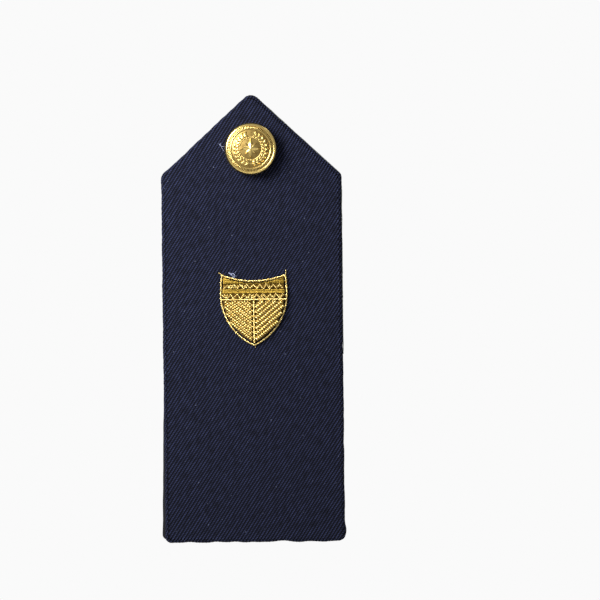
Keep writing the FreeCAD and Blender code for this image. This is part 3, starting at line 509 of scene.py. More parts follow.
def roundedOutline(corners, radii, inset):
    sides = []
    for i, corner in enumerate(corners):
        way = (corners[(i + 1) % len(corners)] - corner).normalized()
        sides.append(Vector((way.y, -way.x)))
    arcs = []
    for i, corner in enumerate(corners):
        before, after = sides[i - 1], sides[i]
        startAngle = math.atan2(before.y, before.x)
        turn = (math.atan2(after.y, after.x) - startAngle) % (2 * math.pi)
        radius = max(radii[i] - inset, 0.05)
        middle = startAngle + turn / 2
        reach = (inset + radius) / math.cos(turn / 2)
        arcs.append((corner - reach * Vector((math.cos(middle), math.sin(middle))), startAngle, turn, radius))
    return arcs


def onOutline(arcs, station):
    centre, startAngle, turn, radius = arcs[int(station) % len(arcs)]
    part = (station % 1) * 2
    if part <= 1:
        angle = startAngle + turn * part
        return centre + radius * Vector((math.cos(angle), math.sin(angle)))
    nextCentre, nextAngle, _, nextRadius = arcs[(int(station) + 1) % len(arcs)]
    start = centre + radius * Vector((math.cos(startAngle + turn), math.sin(startAngle + turn)))
    end = nextCentre + nextRadius * Vector((math.cos(nextAngle), math.sin(nextAngle)))
    return start.lerp(end, part - 1)


def facingAt(arcs, station):  # the outward direction there
    centre, startAngle, turn, radius = arcs[int(station) % len(arcs)]
    angle = startAngle + turn * min((station % 1) * 2, 1)
    return Vector((math.cos(angle), math.sin(angle)))


def evenStations(arcs, step):
    stations = []
    for i in range(len(arcs)):
        for half in (0, 1):
            a, b = i + half / 2, i + half / 2 + 0.4999
            spots = [onOutline(arcs, a + (b - a) * k / 8) for k in range(9)]
            length = sum((after - before).length for before, after in zip(spots, spots[1:]))
            count = max(1, round(length / step)) if half else max(6, round(length / step))
            stations += [a + 0.5 * k / count for k in range(count)]
    return stations


boardShape = {
    "peakSlope": 42.8,  # degrees
    "tip": 3.0,  # corner radii in mm
    "shoulder": 2.4,
    "heel": 2.0,
}


def boardCorners():
    slope = math.radians(boardShape["peakSlope"])
    apex = coverHigh.z + boardShape["tip"] * (1 / math.cos(slope) - 1)
    wide = coverHigh.x
    shoulder = apex - wide * math.tan(slope)
    corners = [(wide, coverLow.z), (wide, shoulder), (0, apex), (-wide, shoulder), (-wide, coverLow.z)]
    radii = [boardShape[name] for name in ("heel", "shoulder", "tip", "shoulder", "heel")]
    return [Vector(corner) for corner in corners], radii


boardEdge, boardRadii = boardCorners()
spineLow = coverLow.z + 30.0
spineHigh = -6.0


def towardSpine(point, amount, low=spineLow, high=spineHigh):
    return point.lerp(Vector((0, min(max(point.y, low), high))), amount)


def waver(x, z, size, seed):
    return noise.noise(Vector((x / size, z / size, seed)))


# the twill cover

coverShape = {
    "cloth": 0.5,  # mm
    "turnIn": 8.0,
    "columns": 104,  # points along each row of the mesh
    "roll": 1.0,  # how far the front edge curls in from the side
    "wale": 0.075,  # height of a wale above the mean face
    "billow": 0.11,  # slow unevenness of the pasted cloth
    "dogEar": 0.5,  # how far the folded cloth pokes out beside the right heel
    "pinch": 0.2,  # how far the left side is drawn in at its foot, where the lining shows beside it
}


def weaveAt(point):  # across and along the wales, which wander a little
    angle = math.radians(twillLook["angle"])
    along = point.x * math.cos(angle) + point.y * math.sin(angle)
    across = -point.x * math.sin(angle) + point.y * math.cos(angle)
    across += 0.22 * waver(point.x, point.y, 17.0, 3.1)
    return across, along


def waleLift(point):
    across, _ = weaveAt(point)
    return coverShape["wale"] * math.cos(2 * math.pi * across / twillLook["pitch"])


def faceLift(point):
    slow = waver(point.x, point.y, 24.0, 0.3) + 0.35 * waver(point.x, point.y, 8.0, 1.7)
    return coverShape["billow"] * slow


def chordStations(arcs, climb):
    # the outline's two crossings with lines along the wales, from the right heel to the left shoulder
    across = Vector((-math.sin(climb), math.cos(climb)))
    facing = math.atan2(across.y, across.x)
    ends = []
    for index, target in ((0, facing - math.pi), (3, facing)):
        _, startAngle, turn, _ = arcs[index]
        ends.append(index + 0.5 * ((target - startAngle) % (2 * math.pi)) / turn)
    low, high = ends
    bottom = onOutline(arcs, low).dot(across)
    top = onOutline(arcs, high).dot(across)
    rowGap = twillLook["pitch"] / 4
    count = int((top - bottom) / rowGap)
    rows = []
    for row in range(count):
        offset = bottom + 0.15 + (top - bottom - 0.3) * row / (count - 1)
        pair = []
        for start, end in ((low, high), (low + 5, high)):
            a, b = start, end
            for _ in range(36):
                middle = (a + b) / 2
                if onOutline(arcs, middle % 5).dot(across) < offset:
                    a = middle
                else:
                    b = middle
            pair.append((a + b) / 2)
        rows.append(pair)
    return rows


def edgePush(station, arcs):  # how far the side of the cover stands out of true there
    point = onOutline(arcs, station % 5)
    out = facingAt(arcs, station % 5)
    push = 0.16 * waver(point.x, point.y, 6.0, 5.0) + 0.1 * waver(point.x, point.y, 2.2, 6.0)
    push += 0.3 * max(0.0, -out.y) * waver(point.x, point.y, 4.2, 7.5)  # the foot's folds are the least even
    low = min(max((point.y + 50.0) / (coverLow.z + 50.0), 0.0), 1.0)
    push -= coverShape["pinch"] * max(0.0, -out.x) * low * low * (3 - 2 * low)
    heel = point - Vector((coverHigh.x, coverLow.z + 3.4))
    return push + coverShape["dogEar"] * math.exp(-heel.length_squared / 3.0)


def twillCover():
    face = coverShape["roll"]
    outer = roundedOutline(boardEdge, boardRadii, 0.0)
    inner = roundedOutline(boardEdge, boardRadii, face)
    rows = chordStations(outer, math.radians(twillLook["angle"]))
    across = coverShape["columns"]
    front = -coverLow.y - coverShape["wale"]
    back = -coverHigh.y
    points, weave, rim = [], [], {}
    for number, (right, left) in enumerate(rows):
        last = number in (0, len(rows) - 1)
        for k in range(across + 1):
            part = k / across
            if last:
                through = right + ((left - 5 if number == 0 else left) - right) * part
                flat = onOutline(inner, through % 5)
            else:
                through = right if part < 0.5 else left
                flat = onOutline(inner, right % 5).lerp(onOutline(inner, left % 5), part)
            if k in (0, across) or last:
                rim[(number, k)] = (len(points), through % 5)
            points.append((flat.x, front + faceLift(flat) + waleLift(flat), flat.y))
            weave.append((*weaveAt(flat), 0.0))
    wide = across + 1
    faces = [(r * wide + k, r * wide + k + 1, (r + 1) * wide + k + 1, (r + 1) * wide + k)
             for r in range(len(rows) - 1) for k in range(across)]
    top = len(rows) - 1
    order = [(r, 0) for r in range(top)] + [(top, k) for k in range(across)]
    order += [(r, across) for r in range(top, 0, -1)] + [(0, k) for k in range(across, 0, -1)]
    ring = [rim[key] for key in order]
    bend = [math.radians(a) for a in (12, 30, 48, 66, 84)]
    section = [(face - face * math.sin(a), front - face * (1 - math.cos(a)), 1.0) for a in bend]
    section += [(0.0, front - 1.6, 1.0), (0.0, front - 2.2, 1.0), (0.03, back + 0.35, 1.0)]
    section += [(0.2, back + 0.1, 0.8), (0.6, back, 0.3), (3.0, back, 0.0)]
    cloth, turnIn = coverShape["cloth"], coverShape["turnIn"]
    section += [(turnIn, back + 0.04, 0.0), (turnIn, back + cloth, 0.0), (0.9, back + cloth, 0.0)]
    section += [(cloth, back + 0.8, 0.0)]
    section += [(cloth, front - 1.3, 0.0), (1.0, front - cloth - 0.2, 0.0)]
    lines = [roundedOutline(boardEdge, boardRadii, inset) for inset, _, _ in section]
    before = [index for index, _ in ring]
    travelled = 0.0
    lastSpot = (face, front)
    for (inset, forward, loose), arcs in zip(section, lines):
        travelled += math.hypot(inset - lastSpot[0], forward - lastSpot[1])
        lastSpot = (inset, forward)
        here = []
        for index, station in ring:
            spot = onOutline(arcs, station)
            out = facingAt(arcs, station)
            flat = onOutline(inner, station) + out * travelled
            ridge = waleLift(flat) * loose
            steep = min(1.0, (face - inset) / face) if forward > back + 0.2 else 0.5
            push = (edgePush(station, outer) * steep + ridge * steep) * loose
            lift = faceLift(onOutline(inner, station)) * max(0.0, 1 - 2 * steep) + ridge * (1 - steep)
            here.append(len(points))
            height = forward + (lift if forward > 2 else 0.0)
            points.append((spot.x + out.x * push, height, spot.y + out.y * push))
            weave.append((*weaveAt(flat), 0.0))
        count = len(ring)
        faces += [(before[i], here[i], here[(i + 1) % count], before[(i + 1) % count]) for i in range(count)]
        before = here
    faces.append(tuple(before))
    piece = addPiece("cover_cloth", points, faces, "twill", "board")
    addAttribute(piece, "weave", "FLOAT_VECTOR", weave)
    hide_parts("twill_cover")


# flat layers: lining and foam

def capFaces(count, bottom, start, flip):
    # strips from flank to flank over an outline that is the same left and right
    low, high = 1, count - bottom - 1
    faces = [[0, 1] + list(range(high, count))]
    while high - low > 1:
        faces.append([low, low + 1, high - 1, high] if high - low > 2 else [low, low + 1, high])
        low, high = low + 1, high - 1
    return [tuple(start + i for i in (reversed(face) if flip else face)) for face in faces]


def layer(name, corners, radii, section, finish, body, step=0.8, spine=(spineLow, spineHigh), move=None):
    # section lists (inset, shrink towards the spine, forward, roughness), from the middle of the back
    # round to the front
    base = roundedOutline(corners, radii, 0.0)
    stations = evenStations(base, step)
    points = []
    for inset, shrink, forward, rough in section:
        arcs = roundedOutline(corners, radii, inset)
        for station in stations:
            spot = towardSpine(onOutline(arcs, station), shrink, *spine)
            lift = rough * (waver(spot.x, spot.y, 9.0, 2.0) + 0.5 * waver(spot.x, spot.y, 3.0, 4.0))
            points.append((spot.x, forward + lift, spot.y))
    if move:
        points = [move(Vector(point)) for point in points]
    count = len(stations)
    bottom = sum(station >= len(base) - 0.5 for station in stations)
    faces = ringFaces(len(section), count)
    faces += capFaces(count, bottom, 0, True)
    faces += capFaces(count, bottom, (len(section) - 1) * count, False)
    return addPiece(name, points, faces, finish, body)


# degrees and mm; the heel is how far the lining strays out on the left of its foot
liningShape = {"skew": -0.56, "about": -53.75, "rim": 0.3, "dip": 8.7, "cloth": 0.5, "heel": 0.45}


def skewed(point):
    turn = math.radians(liningShape["skew"])
    up = point.z - liningShape["about"]
    x = point.x * math.cos(turn) - up * math.sin(turn)
    z = point.x * math.sin(turn) + up * math.cos(turn) + liningShape["about"]
    wander = 0.09 * waver(x, z, 5.0, 8.0)
    if x < 0:
        wander += liningShape["heel"] * min(max((z + 60.0) / (coverLow.z + 60.0), 0.0), 1.0)
    return Vector((x * (1 + wander / 28), point.y, z + wander * 0.5))


def lining():
    rim, dip, cloth = liningShape["rim"], liningShape["dip"], liningShape["cloth"]
    back = [(0.4, 0.0, 0.01, 0.01), (dip - 0.9, 0.0, 0.0, 0.0), (dip - 0.4, 0.0, 0.05, 0.01),
            (dip, 0.0, 0.25, 0.0), (dip + 0.4, 0.0, 0.46, 0.01), (dip + 0.9, 0.0, cloth + 0.02, 0.02)]
    middle = [(dip + 1.4, shrink, cloth + 0.06, 0.05) for shrink in (0.15, 0.35, 0.55, 0.75, 0.97)]
    section = list(reversed(middle)) + list(reversed(back))
    section += [(rim + 0.02, 0.0, 0.12, 0.0), (rim, 0.0, 0.25, 0.0), (rim + 0.05, 0.0, 0.4, 0.0)]
    section += [(rim + 0.3, 0.0, 0.49, 0.0), (dip - 0.8, 0.0, 0.49, 0.0), (dip + 0.2, 0.0, 0.98, 0.0)]
    section += [(dip + 1.4, 0.3, 0.99, 0.0), (dip + 1.4, 0.97, 0.99, 0.0)]
    piece = layer("lining_cloth", boardEdge, boardRadii, section, "lining", "board", 0.9, move=skewed)
    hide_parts("backing_lining")


def foam():
    low, high = boxOf("padding_sheet")
    back, front = -high.y, -low.y
    inset = coverHigh.x - high.x
    section = [(inset, shrink, back, 0.0) for shrink in (0.97, 0.5)]
    section += [(inset + 0.1, 0.0, back, 0.0), (inset, 0.0, back + 0.15, 0.0)]
    section += [(inset + 0.03, 0.0, front - 0.2, 0.0), (inset + 0.2, 0.0, front - 0.02, 0.0)]
    section += [(inset + 0.2, shrink, front - 0.03, 0.02) for shrink in (0.1, 0.3, 0.6, 0.97)]
    piece = layer("foam_sheet", boardEdge, boardRadii, section, "foam", "board", 1.2)
    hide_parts("padding_sheet")


def rawEdge():
    # the pale edge of the interlining shows as a thin line along the upper right side
    arcs = roundedOutline(boardEdge, boardRadii, 0.0)
    mould = Mould()
    line = []
    for station in evenStations(arcs, 0.7):
        if 0.75 < station < 2.2:
            out = facingAt(arcs, station)
            point = onOutline(arcs, station)
            point = point + out * (0.1 + 0.12 * waver(point.x, point.y, 4.0, 3.0))
            line.append(Vector((point.x, 0.62 + 0.1 * waver(point.x, point.y, 6.0, 1.0), point.y)))
    mould.tube(line, 0.15, lobes=2, pitch=1.3, depth=0.2, sides=8)
    piece = mould.piece("interlining_edge", "interlining", "board")


# the leather strap, sewn at its foot and folded forward into the tongue

sewnLow, sewnHigh = boxOf("strap_sewn_end")
tongueHigh = boxOf("tongue_strap")[1]
strapShape = {
    "lean": 1.476,  # degrees that the tongue leans away from the board
    "foot": 2.0,  # corner radius
    "crease": 1.5,  # mm from the edge to the tooled line
    "creaseDepth": 0.12,
    "fold": 1.2,  # mm over which the strap bends
}


def onStrap(point):
    # the flat strap, laid along z from the hinge line at z = 0, leans back beyond it
    thick = point.y
    fold = strapShape["fold"]
    lean = math.radians(strapShape["lean"])
    share = min(max(point.z / fold + 0.5, 0.0), 1.0)
    angle = lean * share
    along = max(point.z, 0.0)
    y = sewnHigh.y - thick + along * math.sin(angle)
    z = sewnHigh.z + (point.z if point.z < 0 else along * math.cos(angle))
    y += thick * (1 - math.cos(angle))
    return Vector((point.x, -y, z))


def strap():
    thick = sewnHigh.y - sewnLow.y
    half = sewnHigh.x
    foot = sewnLow.z - sewnHigh.z
    tip = (tongueHigh.z - sewnHigh.z) / math.cos(math.radians(strapShape["lean"]))
    corners = [Vector((half, foot)), Vector((half, tip)), Vector((-half, tip)), Vector((-half, foot))]
    radii = [strapShape["foot"], half - 0.02, half - 0.02, strapShape["foot"]]
    edge = 0.42
    crease, deep = strapShape["crease"], strapShape["creaseDepth"]
    turn = [math.radians(a) for a in (0, 22, 45, 68, 90)]
    back = [(crease + 0.5, 0.0, 0.0, 0.012), (crease + 0.22, 0.0, deep * 0.4, 0.0), (crease, 0.0, deep, 0.0)]
    back += [(crease - 0.22, 0.0, deep * 0.4, 0.0), (crease - 0.45, 0.0, 0.0, 0.01)]
    section = [(half - 1.0, 0.9, 0.0, 0.02), (half * 0.6, 0.0, 0.0, 0.02), (half * 0.38, 0.0, 0.0, 0.02)]
    section += back
    section += [(edge * (1 - math.sin(a)), 0.0, edge * (1 - math.cos(a)), 0.0) for a in turn]
    section += [(edge * (1 - math.cos(a)), 0.0, thick - edge * (1 - math.sin(a)), 0.0) for a in turn]
    section += [(half * 0.38, 0.0, thick, 0.0), (half * 0.6, 0.0, thick, 0.0), (half - 1.0, 0.9, thick, 0.0)]
    spine = (foot + half, tip - half)
    piece = layer("leather_strap", corners, radii, section, "leather", None, 0.5, spine, onStrap)
    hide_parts("strap_sewn_end", "tongue_strap")
    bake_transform(piece)


# sewing on the strap's foot

stitching = {"radius": 0.27, "pitch": 2.6, "length": 2.0, "margin": 1.6, "crossStart": 0.18, "twist": 1.1}


def stitchLine(mould, start, end):
    way = end - start
    count = max(1, round(way.length / stitching["pitch"]))
    half = way.normalized() * (stitching["length"] / 2)
    top = sewnHigh.y
    for i in range(count):
        middle = start + way * ((i + 0.5) / count)
        line = []
        for k in range(13):
            part = k / 6 - 1
            spot = middle + half * part
            rise = 0.16 - 0.55 * abs(part) ** 4
            line.append(Vector((spot.x, -(top + rise), spot.y)))
        mould.tube(line, stitching["radius"], lobes=2, pitch=stitching["twist"], depth=0.12, sides=12)


def strapSewing():
    half = sewnHigh.x - stitching["margin"]
    low = sewnLow.z + stitching["margin"]
    high = sewnHigh.z - stitching["margin"]
    corners = [Vector(c) for c in ((-half, low), (half, low), (half, high), (-half, high))]
    mould = Mould()
    for i, corner in enumerate(corners):
        stitchLine(mould, corner, corners[(i + 1) % 4])
    for a, b in ((0, 2), (1, 3)):
        inset = (corners[b] - corners[a]) * stitching["crossStart"]
        stitchLine(mould, corners[a] + inset, corners[b] - inset)
    piece = mould.piece("strap_sewing", "thread", "board")
    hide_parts("strap_stitches")


# the gilt button

buttonShape = {
    "serrations": 90,  # real milling is finer, but this is the finest that shows
    "spokes": 720,
    "milling": 0.1,
    "relief": 0.42,
}
# radius and height above the cloth, from the middle of the dome outwards and round to the hem
buttonRings = [(6.05, 4.15), (6.13, 4.33), (6.2, 4.4), (6.38, 4.41), (6.48, 4.32), (6.55, 4.05), (6.68, 3.98),
               (6.9, 3.9), (7.12, 3.82), (7.25, 3.75), (7.33, 3.8), (7.45, 3.84), (7.7, 3.72), (7.95, 3.42),
               (8.16, 2.95), (8.27, 2.5), (8.3, 2.2), (8.28, 1.7), (8.18, 1.15), (8.02, 0.7), (7.8, 0.32),
               (7.5, 0.1), (6.9, 0.05)]


def domeHeight(radius):  # a shallow dome from the middle to the field's edge
    edge, low = buttonRings[0]
    top = -boxOf("button_face")[0].y + coverLow.y - 0.12
    return top - (top - low) * (radius / edge) ** 2


def leafRelief(x, z, at, way, length, width):
    along = (x - at[0]) * way[0] + (z - at[1]) * way[1]
    aside = -(x - at[0]) * way[1] + (z - at[1]) * way[0]
    spanned = np.clip(1 - (along / length) ** 2, 0, 1)
    edge = np.maximum(width * spanned, 1e-6)
    body = np.clip(1 - (aside / edge) ** 2, 0, 1) ** 0.6 * (spanned > 0)
    rib = np.exp(-(aside / (0.14 * width)) ** 2) * spanned
    return body * (0.55 + 0.35 * spanned) - 0.3 * rib * (body > 0)


wreathShape = {
    "leaves": 11,  # pairs on each branch
    "start": 14,  # degrees from the foot to the first pair
    "sweep": 146,  # degrees from the first pair to the last
    "outer": 5.1,  # mm from the middle to the outer leaves
    "inner": 4.25,
    "splay": 0.62,  # how far the leaves turn off the branch
    "length": 0.78,  # half a leaf, in mm
    "width": 0.36,
    "stem": 4.68,  # mm from the middle to the branch
    "stemWidth": 0.09,
    "stemGap": 18,  # degrees left open at the top
    "berry": 0.16,
}


def wreathRelief(x, z):
    w = wreathShape
    height = np.zeros_like(x)
    for side in (-1, 1):
        for number in range(w["leaves"]):
            angle = math.radians(-90 + side * (w["start"] + w["sweep"] * number / (w["leaves"] - 1)))
            spoke = Vector((math.cos(angle), math.sin(angle)))
            onward = Vector((-spoke.y, spoke.x)) * side
            for lean, reach in ((w["splay"], w["outer"]), (-w["splay"], w["inner"])):
                way = (onward + spoke * lean).normalized()
                leaf = leafRelief(x, z, spoke * reach, way, w["length"], w["width"])
                height = np.maximum(height, leaf)
            berry = spoke * w["stem"]
            near = ((x - berry.x) ** 2 + (z - berry.y) ** 2) / w["berry"] ** 2
            height = np.maximum(height, 0.7 * np.sqrt(np.clip(1 - near, 0, 1)))
    fromTop = np.abs(np.degrees(np.arctan2(x, z)))
    stem = np.exp(-((np.hypot(x, z) - w["stem"]) / w["stemWidth"]) ** 2) * (fromTop > w["stemGap"])
    return np.maximum(height, 0.45 * stem)


starShape = {
    "points": 8,
    "lengths": (3.4, 2.5),  # mm, long and short points in turn
    "widths": (1.25, 1.0),
    "heights": (1.2, 0.9),
    "boss": 0.62,
    "rope": 3.62,  # the twisted ring around the star
    "ropeWidth": 0.12,
    "ropeTurns": 40,
}


def starRelief(x, z):
    s = starShape
    height = np.zeros_like(x)
    for number in range(s["points"]):
        angle = 2 * math.pi * number / s["points"]
        length, width, rise = [s[name][number % 2] for name in ("lengths", "widths", "heights")]
        along = x * math.sin(angle) + z * math.cos(angle)
        aside = np.abs(x * math.cos(angle) - z * math.sin(angle))
        edge = np.maximum(width * (1 - along / length), 1e-6)
        facet = np.clip(1 - aside / edge, 0, 1) * (along > 0) * (along < length)
        height = np.maximum(height, facet * rise * (1 - 0.35 * along / length))
    radius = np.hypot(x, z)
    boss = 1.1 * np.sqrt(np.clip(1 - (radius / s["boss"]) ** 2, 0, 1))
    twist = 0.75 + 0.25 * np.cos(s["ropeTurns"] * np.arctan2(x, z))
    rope = 0.5 * np.exp(-((radius - s["rope"]) / s["ropeWidth"]) ** 2) * twist
    return np.maximum.reduce([height, boss, rope])


def buttonFace():
    spokes = buttonShape["spokes"]
    angles = np.linspace(0, 2 * math.pi, spokes, endpoint=False)
    field = np.linspace(0.05, buttonRings[0][0] - 0.08, 76)
    radii = list(field)
    heights = [domeHeight(r) for r in field]
    outside = buttonRings[:10]
    for (r0, h0), (r1, h1) in zip(outside, outside[1:]):
        radii += [r0, (r0 + r1) / 2]
        heights += [h0, (h0 + h1) / 2]
    for r, h in buttonRings[9:]:
        radii.append(r)
        heights.append(h)
    radii = np.array(radii)[:, None]
    heights = np.array(heights)[:, None] * np.ones(spokes)
    x, z = radii * np.sin(angles), radii * np.cos(angles)
    relief = np.maximum(wreathRelief(x, z), starRelief(x, z))
    fade = np.clip((5.95 - radii) / 0.25, 0, 1)
    tooth = np.exp(-((radii - 6.92) / 0.3) ** 4) * (np.arange(len(radii))[:, None] < len(radii) - 14)
    heights += buttonShape["relief"] * relief * fade
    milled = np.cos(buttonShape["serrations"] * angles)
    heights += buttonShape["milling"] * tooth * milled
    # the raised relief takes the bright gilt and the low field the brown: partly toning, partly painted shade
    polishAndShade = 0.3 + 0.7 * relief * fade
    polishAndShade = np.where(radii > 6.08, 0.85, polishAndShade)
    # painted highlight and painted shade on alternate teeth of the milled ring
    polishAndShade = np.where((radii > 6.5) & (radii < 7.3), 0.35 + 0.5 * np.sign(milled), polishAndShade)
    base = coverLow.y
    points = [(a, h - base, b) for a, h, b in zip(x.ravel(), heights.ravel(), z.ravel())]
    shine = list(polishAndShade.ravel())
    inner = [(6.9, 0.35), (7.5, 0.42), (7.8, 0.9), (7.98, 2.3), (7.4, 3.4), (6.2, 3.75), (3.0, 4.45)]
    for r, h in inner + [(0.05, 4.7)]:  # the inside of the shell
        for angle in angles:
            points.append((r * math.sin(angle), h - base, r * math.cos(angle)))
            shine.append(0.3)
    rings = len(points) // spokes
    piece = addPiece("button_shell", points, closedFaces(rings, spokes), "gilt", "button")
    addAttribute(piece, "polishAndShade", "FLOAT", shine)
    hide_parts("button_face")


# turned pieces on the screw post's axis

postShape = {"head": 3.4, "shank": 1.6, "thread": 1.72, "root": 1.42, "pitch": 0.794}


def screwPost():
    low, high = boxOf("button_post")
    sides = 48
    head, shank, root = postShape["head"], postShape["shank"], postShape["root"]
    stations = [(0.05, low.y), (head - 0.15, low.y), (head, low.y + 0.15), (head, low.y + 0.45)]
    stations += [(head - 0.1, low.y + 0.6), (shank + 0.2, low.y + 0.68), (shank, low.y + 0.9), (shank, -0.1)]
    points = [(r * math.cos(2 * math.pi * k / sides), -y, r * math.sin(2 * math.pi * k / sides))
              for r, y in stations for k in range(sides)]
    turns = high.y / postShape["pitch"]
    rings = int(turns * 10)
    for ring in range(rings + 1):
        y = high.y * ring / rings
        end = min(1.0, (high.y - y) / 0.35)
        for k in range(sides):
            angle = 2 * math.pi * k / sides
            wave = abs(((y / postShape["pitch"] - k / sides) % 1) * 2 - 1)
            radius = root + (postShape["thread"] - root) * min(1.0, 1.3 * wave)
            radius = radius * (0.82 + 0.18 * end)
            points.append((radius * math.cos(angle), -y, radius * math.sin(angle)))
    faces = closedFaces(len(points) // sides, sides)
    piece = addPiece("screw_post", points, faces, "brass", "button")
    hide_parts("button_post")


capShape = {"height": 0.5, "edge": 0.14, "stem": 1.9}


def snapCap():
    # a pressed cap whose edge is rolled under, on the back of the tongue
    low, high = boxOf("snap_cap")
    radius = (high.z - low.z) / 2
    lean = math.radians(strapShape["lean"])
    outward = Vector((0, -math.cos(lean), -math.sin(lean)))
    upward = Vector((0, -math.sin(lean), math.cos(lean)))
    base = Vector((0, -high.y, (low.z + high.z) / 2)) - outward * capShape["height"]
    rise, edge, stem = capShape["height"], capShape["edge"], capShape["stem"]
    stations = [(stem, -1.0), (stem, -0.02), (radius - 0.3, 0.0), (radius - 0.06, 0.02)]
    stations += [(radius, edge / 2), (radius - 0.02, edge), (radius - 0.12, edge + 0.06)]
    for part in (0.94, 0.88, 0.8, 0.7, 0.6, 0.5, 0.4, 0.3, 0.2, 0.1, 0.03):
        stations.append((radius * part, edge + 0.06 + (rise - edge - 0.06) * (1 - part ** 2.4)))
    sides = 96
    points = []
    for r, h in stations:
        for k in range(sides):
            angle = 2 * math.pi * k / sides
            spot = base + outward * h + upward * (r * math.cos(angle)) + Vector((r * math.sin(angle), 0, 0))
            points.append(spot)
    piece = addPiece("snap_cap_dome", points, closedFaces(len(stations), sides), "enamel", "tongue")
    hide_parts("snap_cap")


# the bullion shield

shieldShape = {
    "right": 0.45,  # mm from the post's axis
    "below": 39.6,
    "ear": 10.35,
    "waist": 10.73,
    "waistDrop": 6.5,
    "height": 22.9,
    "dip": 1.9,
    "cord": 0.29,  # radius of the edging cord
    "gap": 0.78,  # from the outline to the worked field
    "divider": 8.2,  # below the ears
    "purl": 0.6,
    "purlPitch": 1.3,
    "purlSlope": 40.0,
    "bead": 0.78,  # one turn of the rough purl
    "spineGap": 0.48,  # from the spine to the first turn of purl
    "footGap": 1.9,
    "roofGap": 0.45,
    "filler": 0.3,  # radius and sink of the thinner purl between the rows
    "fillerSink": 0.28,
    "innerCord": 0.3,
    "couching": 0.09,  # radius of the stitches over the edging cord
    "couchEvery": 19,  # points of the cord from stitch to stitch
}


def shieldOutline(step, inset=0.0):  # drawn afresh for each inset, so the ears stay crisp
    s = shieldShape
    ear, waist, top = s["ear"] - inset, s["waist"] - inset, -1.2 * inset
    drop = s["height"] - 1.25 * inset - s["waistDrop"]
    flank = (drop ** 2 + waist ** 2) / (2 * waist)
    narrow = waist - ear
    rise = s["waistDrop"] + top
    lean = (rise ** 2 + narrow ** 2) / (2 * narrow)
    brow = (ear ** 2 + s["dip"] ** 2) / (2 * s["dip"])
    foot = Vector((0, -s["waistDrop"] - drop))
    right, left = [Vector((x, -s["waistDrop"])) for x in (waist, -waist)]
    earRight, earLeft = [Vector((x, top)) for x in (ear, -ear)]
    line = arcPoints(foot, right, flank, step) + arcPoints(right, earRight, lean, step)
    line += arcPoints(earRight, earLeft, -brow, step)
    line += arcPoints(earLeft, left, lean, step) + arcPoints(left, foot, flank, step)
    return line


def inside(outline, point):
    hit = False
    for i, b in enumerate(outline):
        a = outline[i - 1]
        if (a.y > point.y) != (b.y > point.y) and point.x < (b.x - a.x) * (point.y - a.y) / (b.y - a.y) + a.x:
            hit = not hit
    return hit


def runsInside(outline, start, way, length, step=0.1):  # stretches of a straight line that lie in the outline
    runs, first = [], None
    for i in range(int(length / step) + 1):
        point = start + way * (i * step)
        if inside(outline, point):
            first = first or point
            last = point
        elif first:
            runs.append((first, last))
            first = None
    if first:
        runs.append((first, last))
    return [(a, b) for a, b in runs if (b - a).length > 0.35]


def onShield(point, height):  # shield coordinates to the board's
    return Vector((point.x + shieldShape["right"], -coverLow.y + height, point.y - shieldShape["below"]))


def feltPad():
    rings = [(1.0, -0.1), (0.9, 0.25), (0.98, 0.42), (1.35, 0.55)]
    stations = 180
    points = []
    for inset, height in rings:
        outline = shieldOutline(0.1, inset)
        points += [onShield(outline[len(outline) * i // stations], height) for i in range(stations)]
    piece = addPiece("felt_pad", points, closedFaces(len(rings), stations), "felt", "board")
    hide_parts("shield_padding")


def edgingCord():
    cord = shieldShape["cord"]
    mould = Mould()
    wobble = random.Random(5)
    route = []
    for i, p in enumerate(shieldOutline(0.13, cord)):
        push = Vector((waver(i, 0, 17.0, 9.0), waver(i, 9, 17.0, 9.0))) * 0.07
        route.append(onShield(p + push, cord + 0.12 + 0.05 * waver(i, 4, 11.0, 2.0)))
    mould.tube(route, cord, lobes=3, pitch=1.5, depth=0.2, sides=14, closed=True)
    for i in range(0, len(route), shieldShape["couchEvery"]):  # couching stitches hold it down
        spot, after = route[i], route[(i + 1) % len(route)]
        step = (after - spot).normalized()
        aside = Vector((step.z, 0, -step.x)) * (cord + 0.12)
        lean = step * wobble.uniform(0.05, 0.2)
        top = Vector((0, cord + 0.1, 0))
        arch = [spot - aside - lean, spot - aside * 0.8 + top * 0.6 - lean, spot + top]
        arch += [spot + aside * 0.8 + top * 0.6 + lean, spot + aside + lean]
        mould.tube(arch, shieldShape["couching"], lobes=2, pitch=0.4, depth=0.1, sides=7)
    piece = mould.piece("edging_cord", "cord", "board")
    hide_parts("shield_border_cord")


def innerCords():
    line = shieldOutline(0.4, 0.5)
    level = -shieldShape["divider"]
    start = Vector((-12, level + 0.06))
    runs = runsInside(line, start, Vector((1, 0.004)).normalized(), 24, 0.1)
    spine = (Vector((0, level - 0.3)), Vector((0.05, 1.1 - shieldShape["height"])))
    cords = [("divider_cord", "shield_divider_cord", runs[0]), ("spine_cord", "shield_spine_cord", spine)]
    for name, node, ends in cords:
        mould = Mould()
        route = [onShield(p, 1.12 + 0.03 * waver(p.x, p.y, 2.0, 1.0)) for p in divided(*ends, 0.14)]
        mould.tube(route, shieldShape["innerCord"], lobes=3, pitch=1.4, depth=0.18, sides=14)
        piece = mould.piece(name, "cord", "board")
        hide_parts(node)


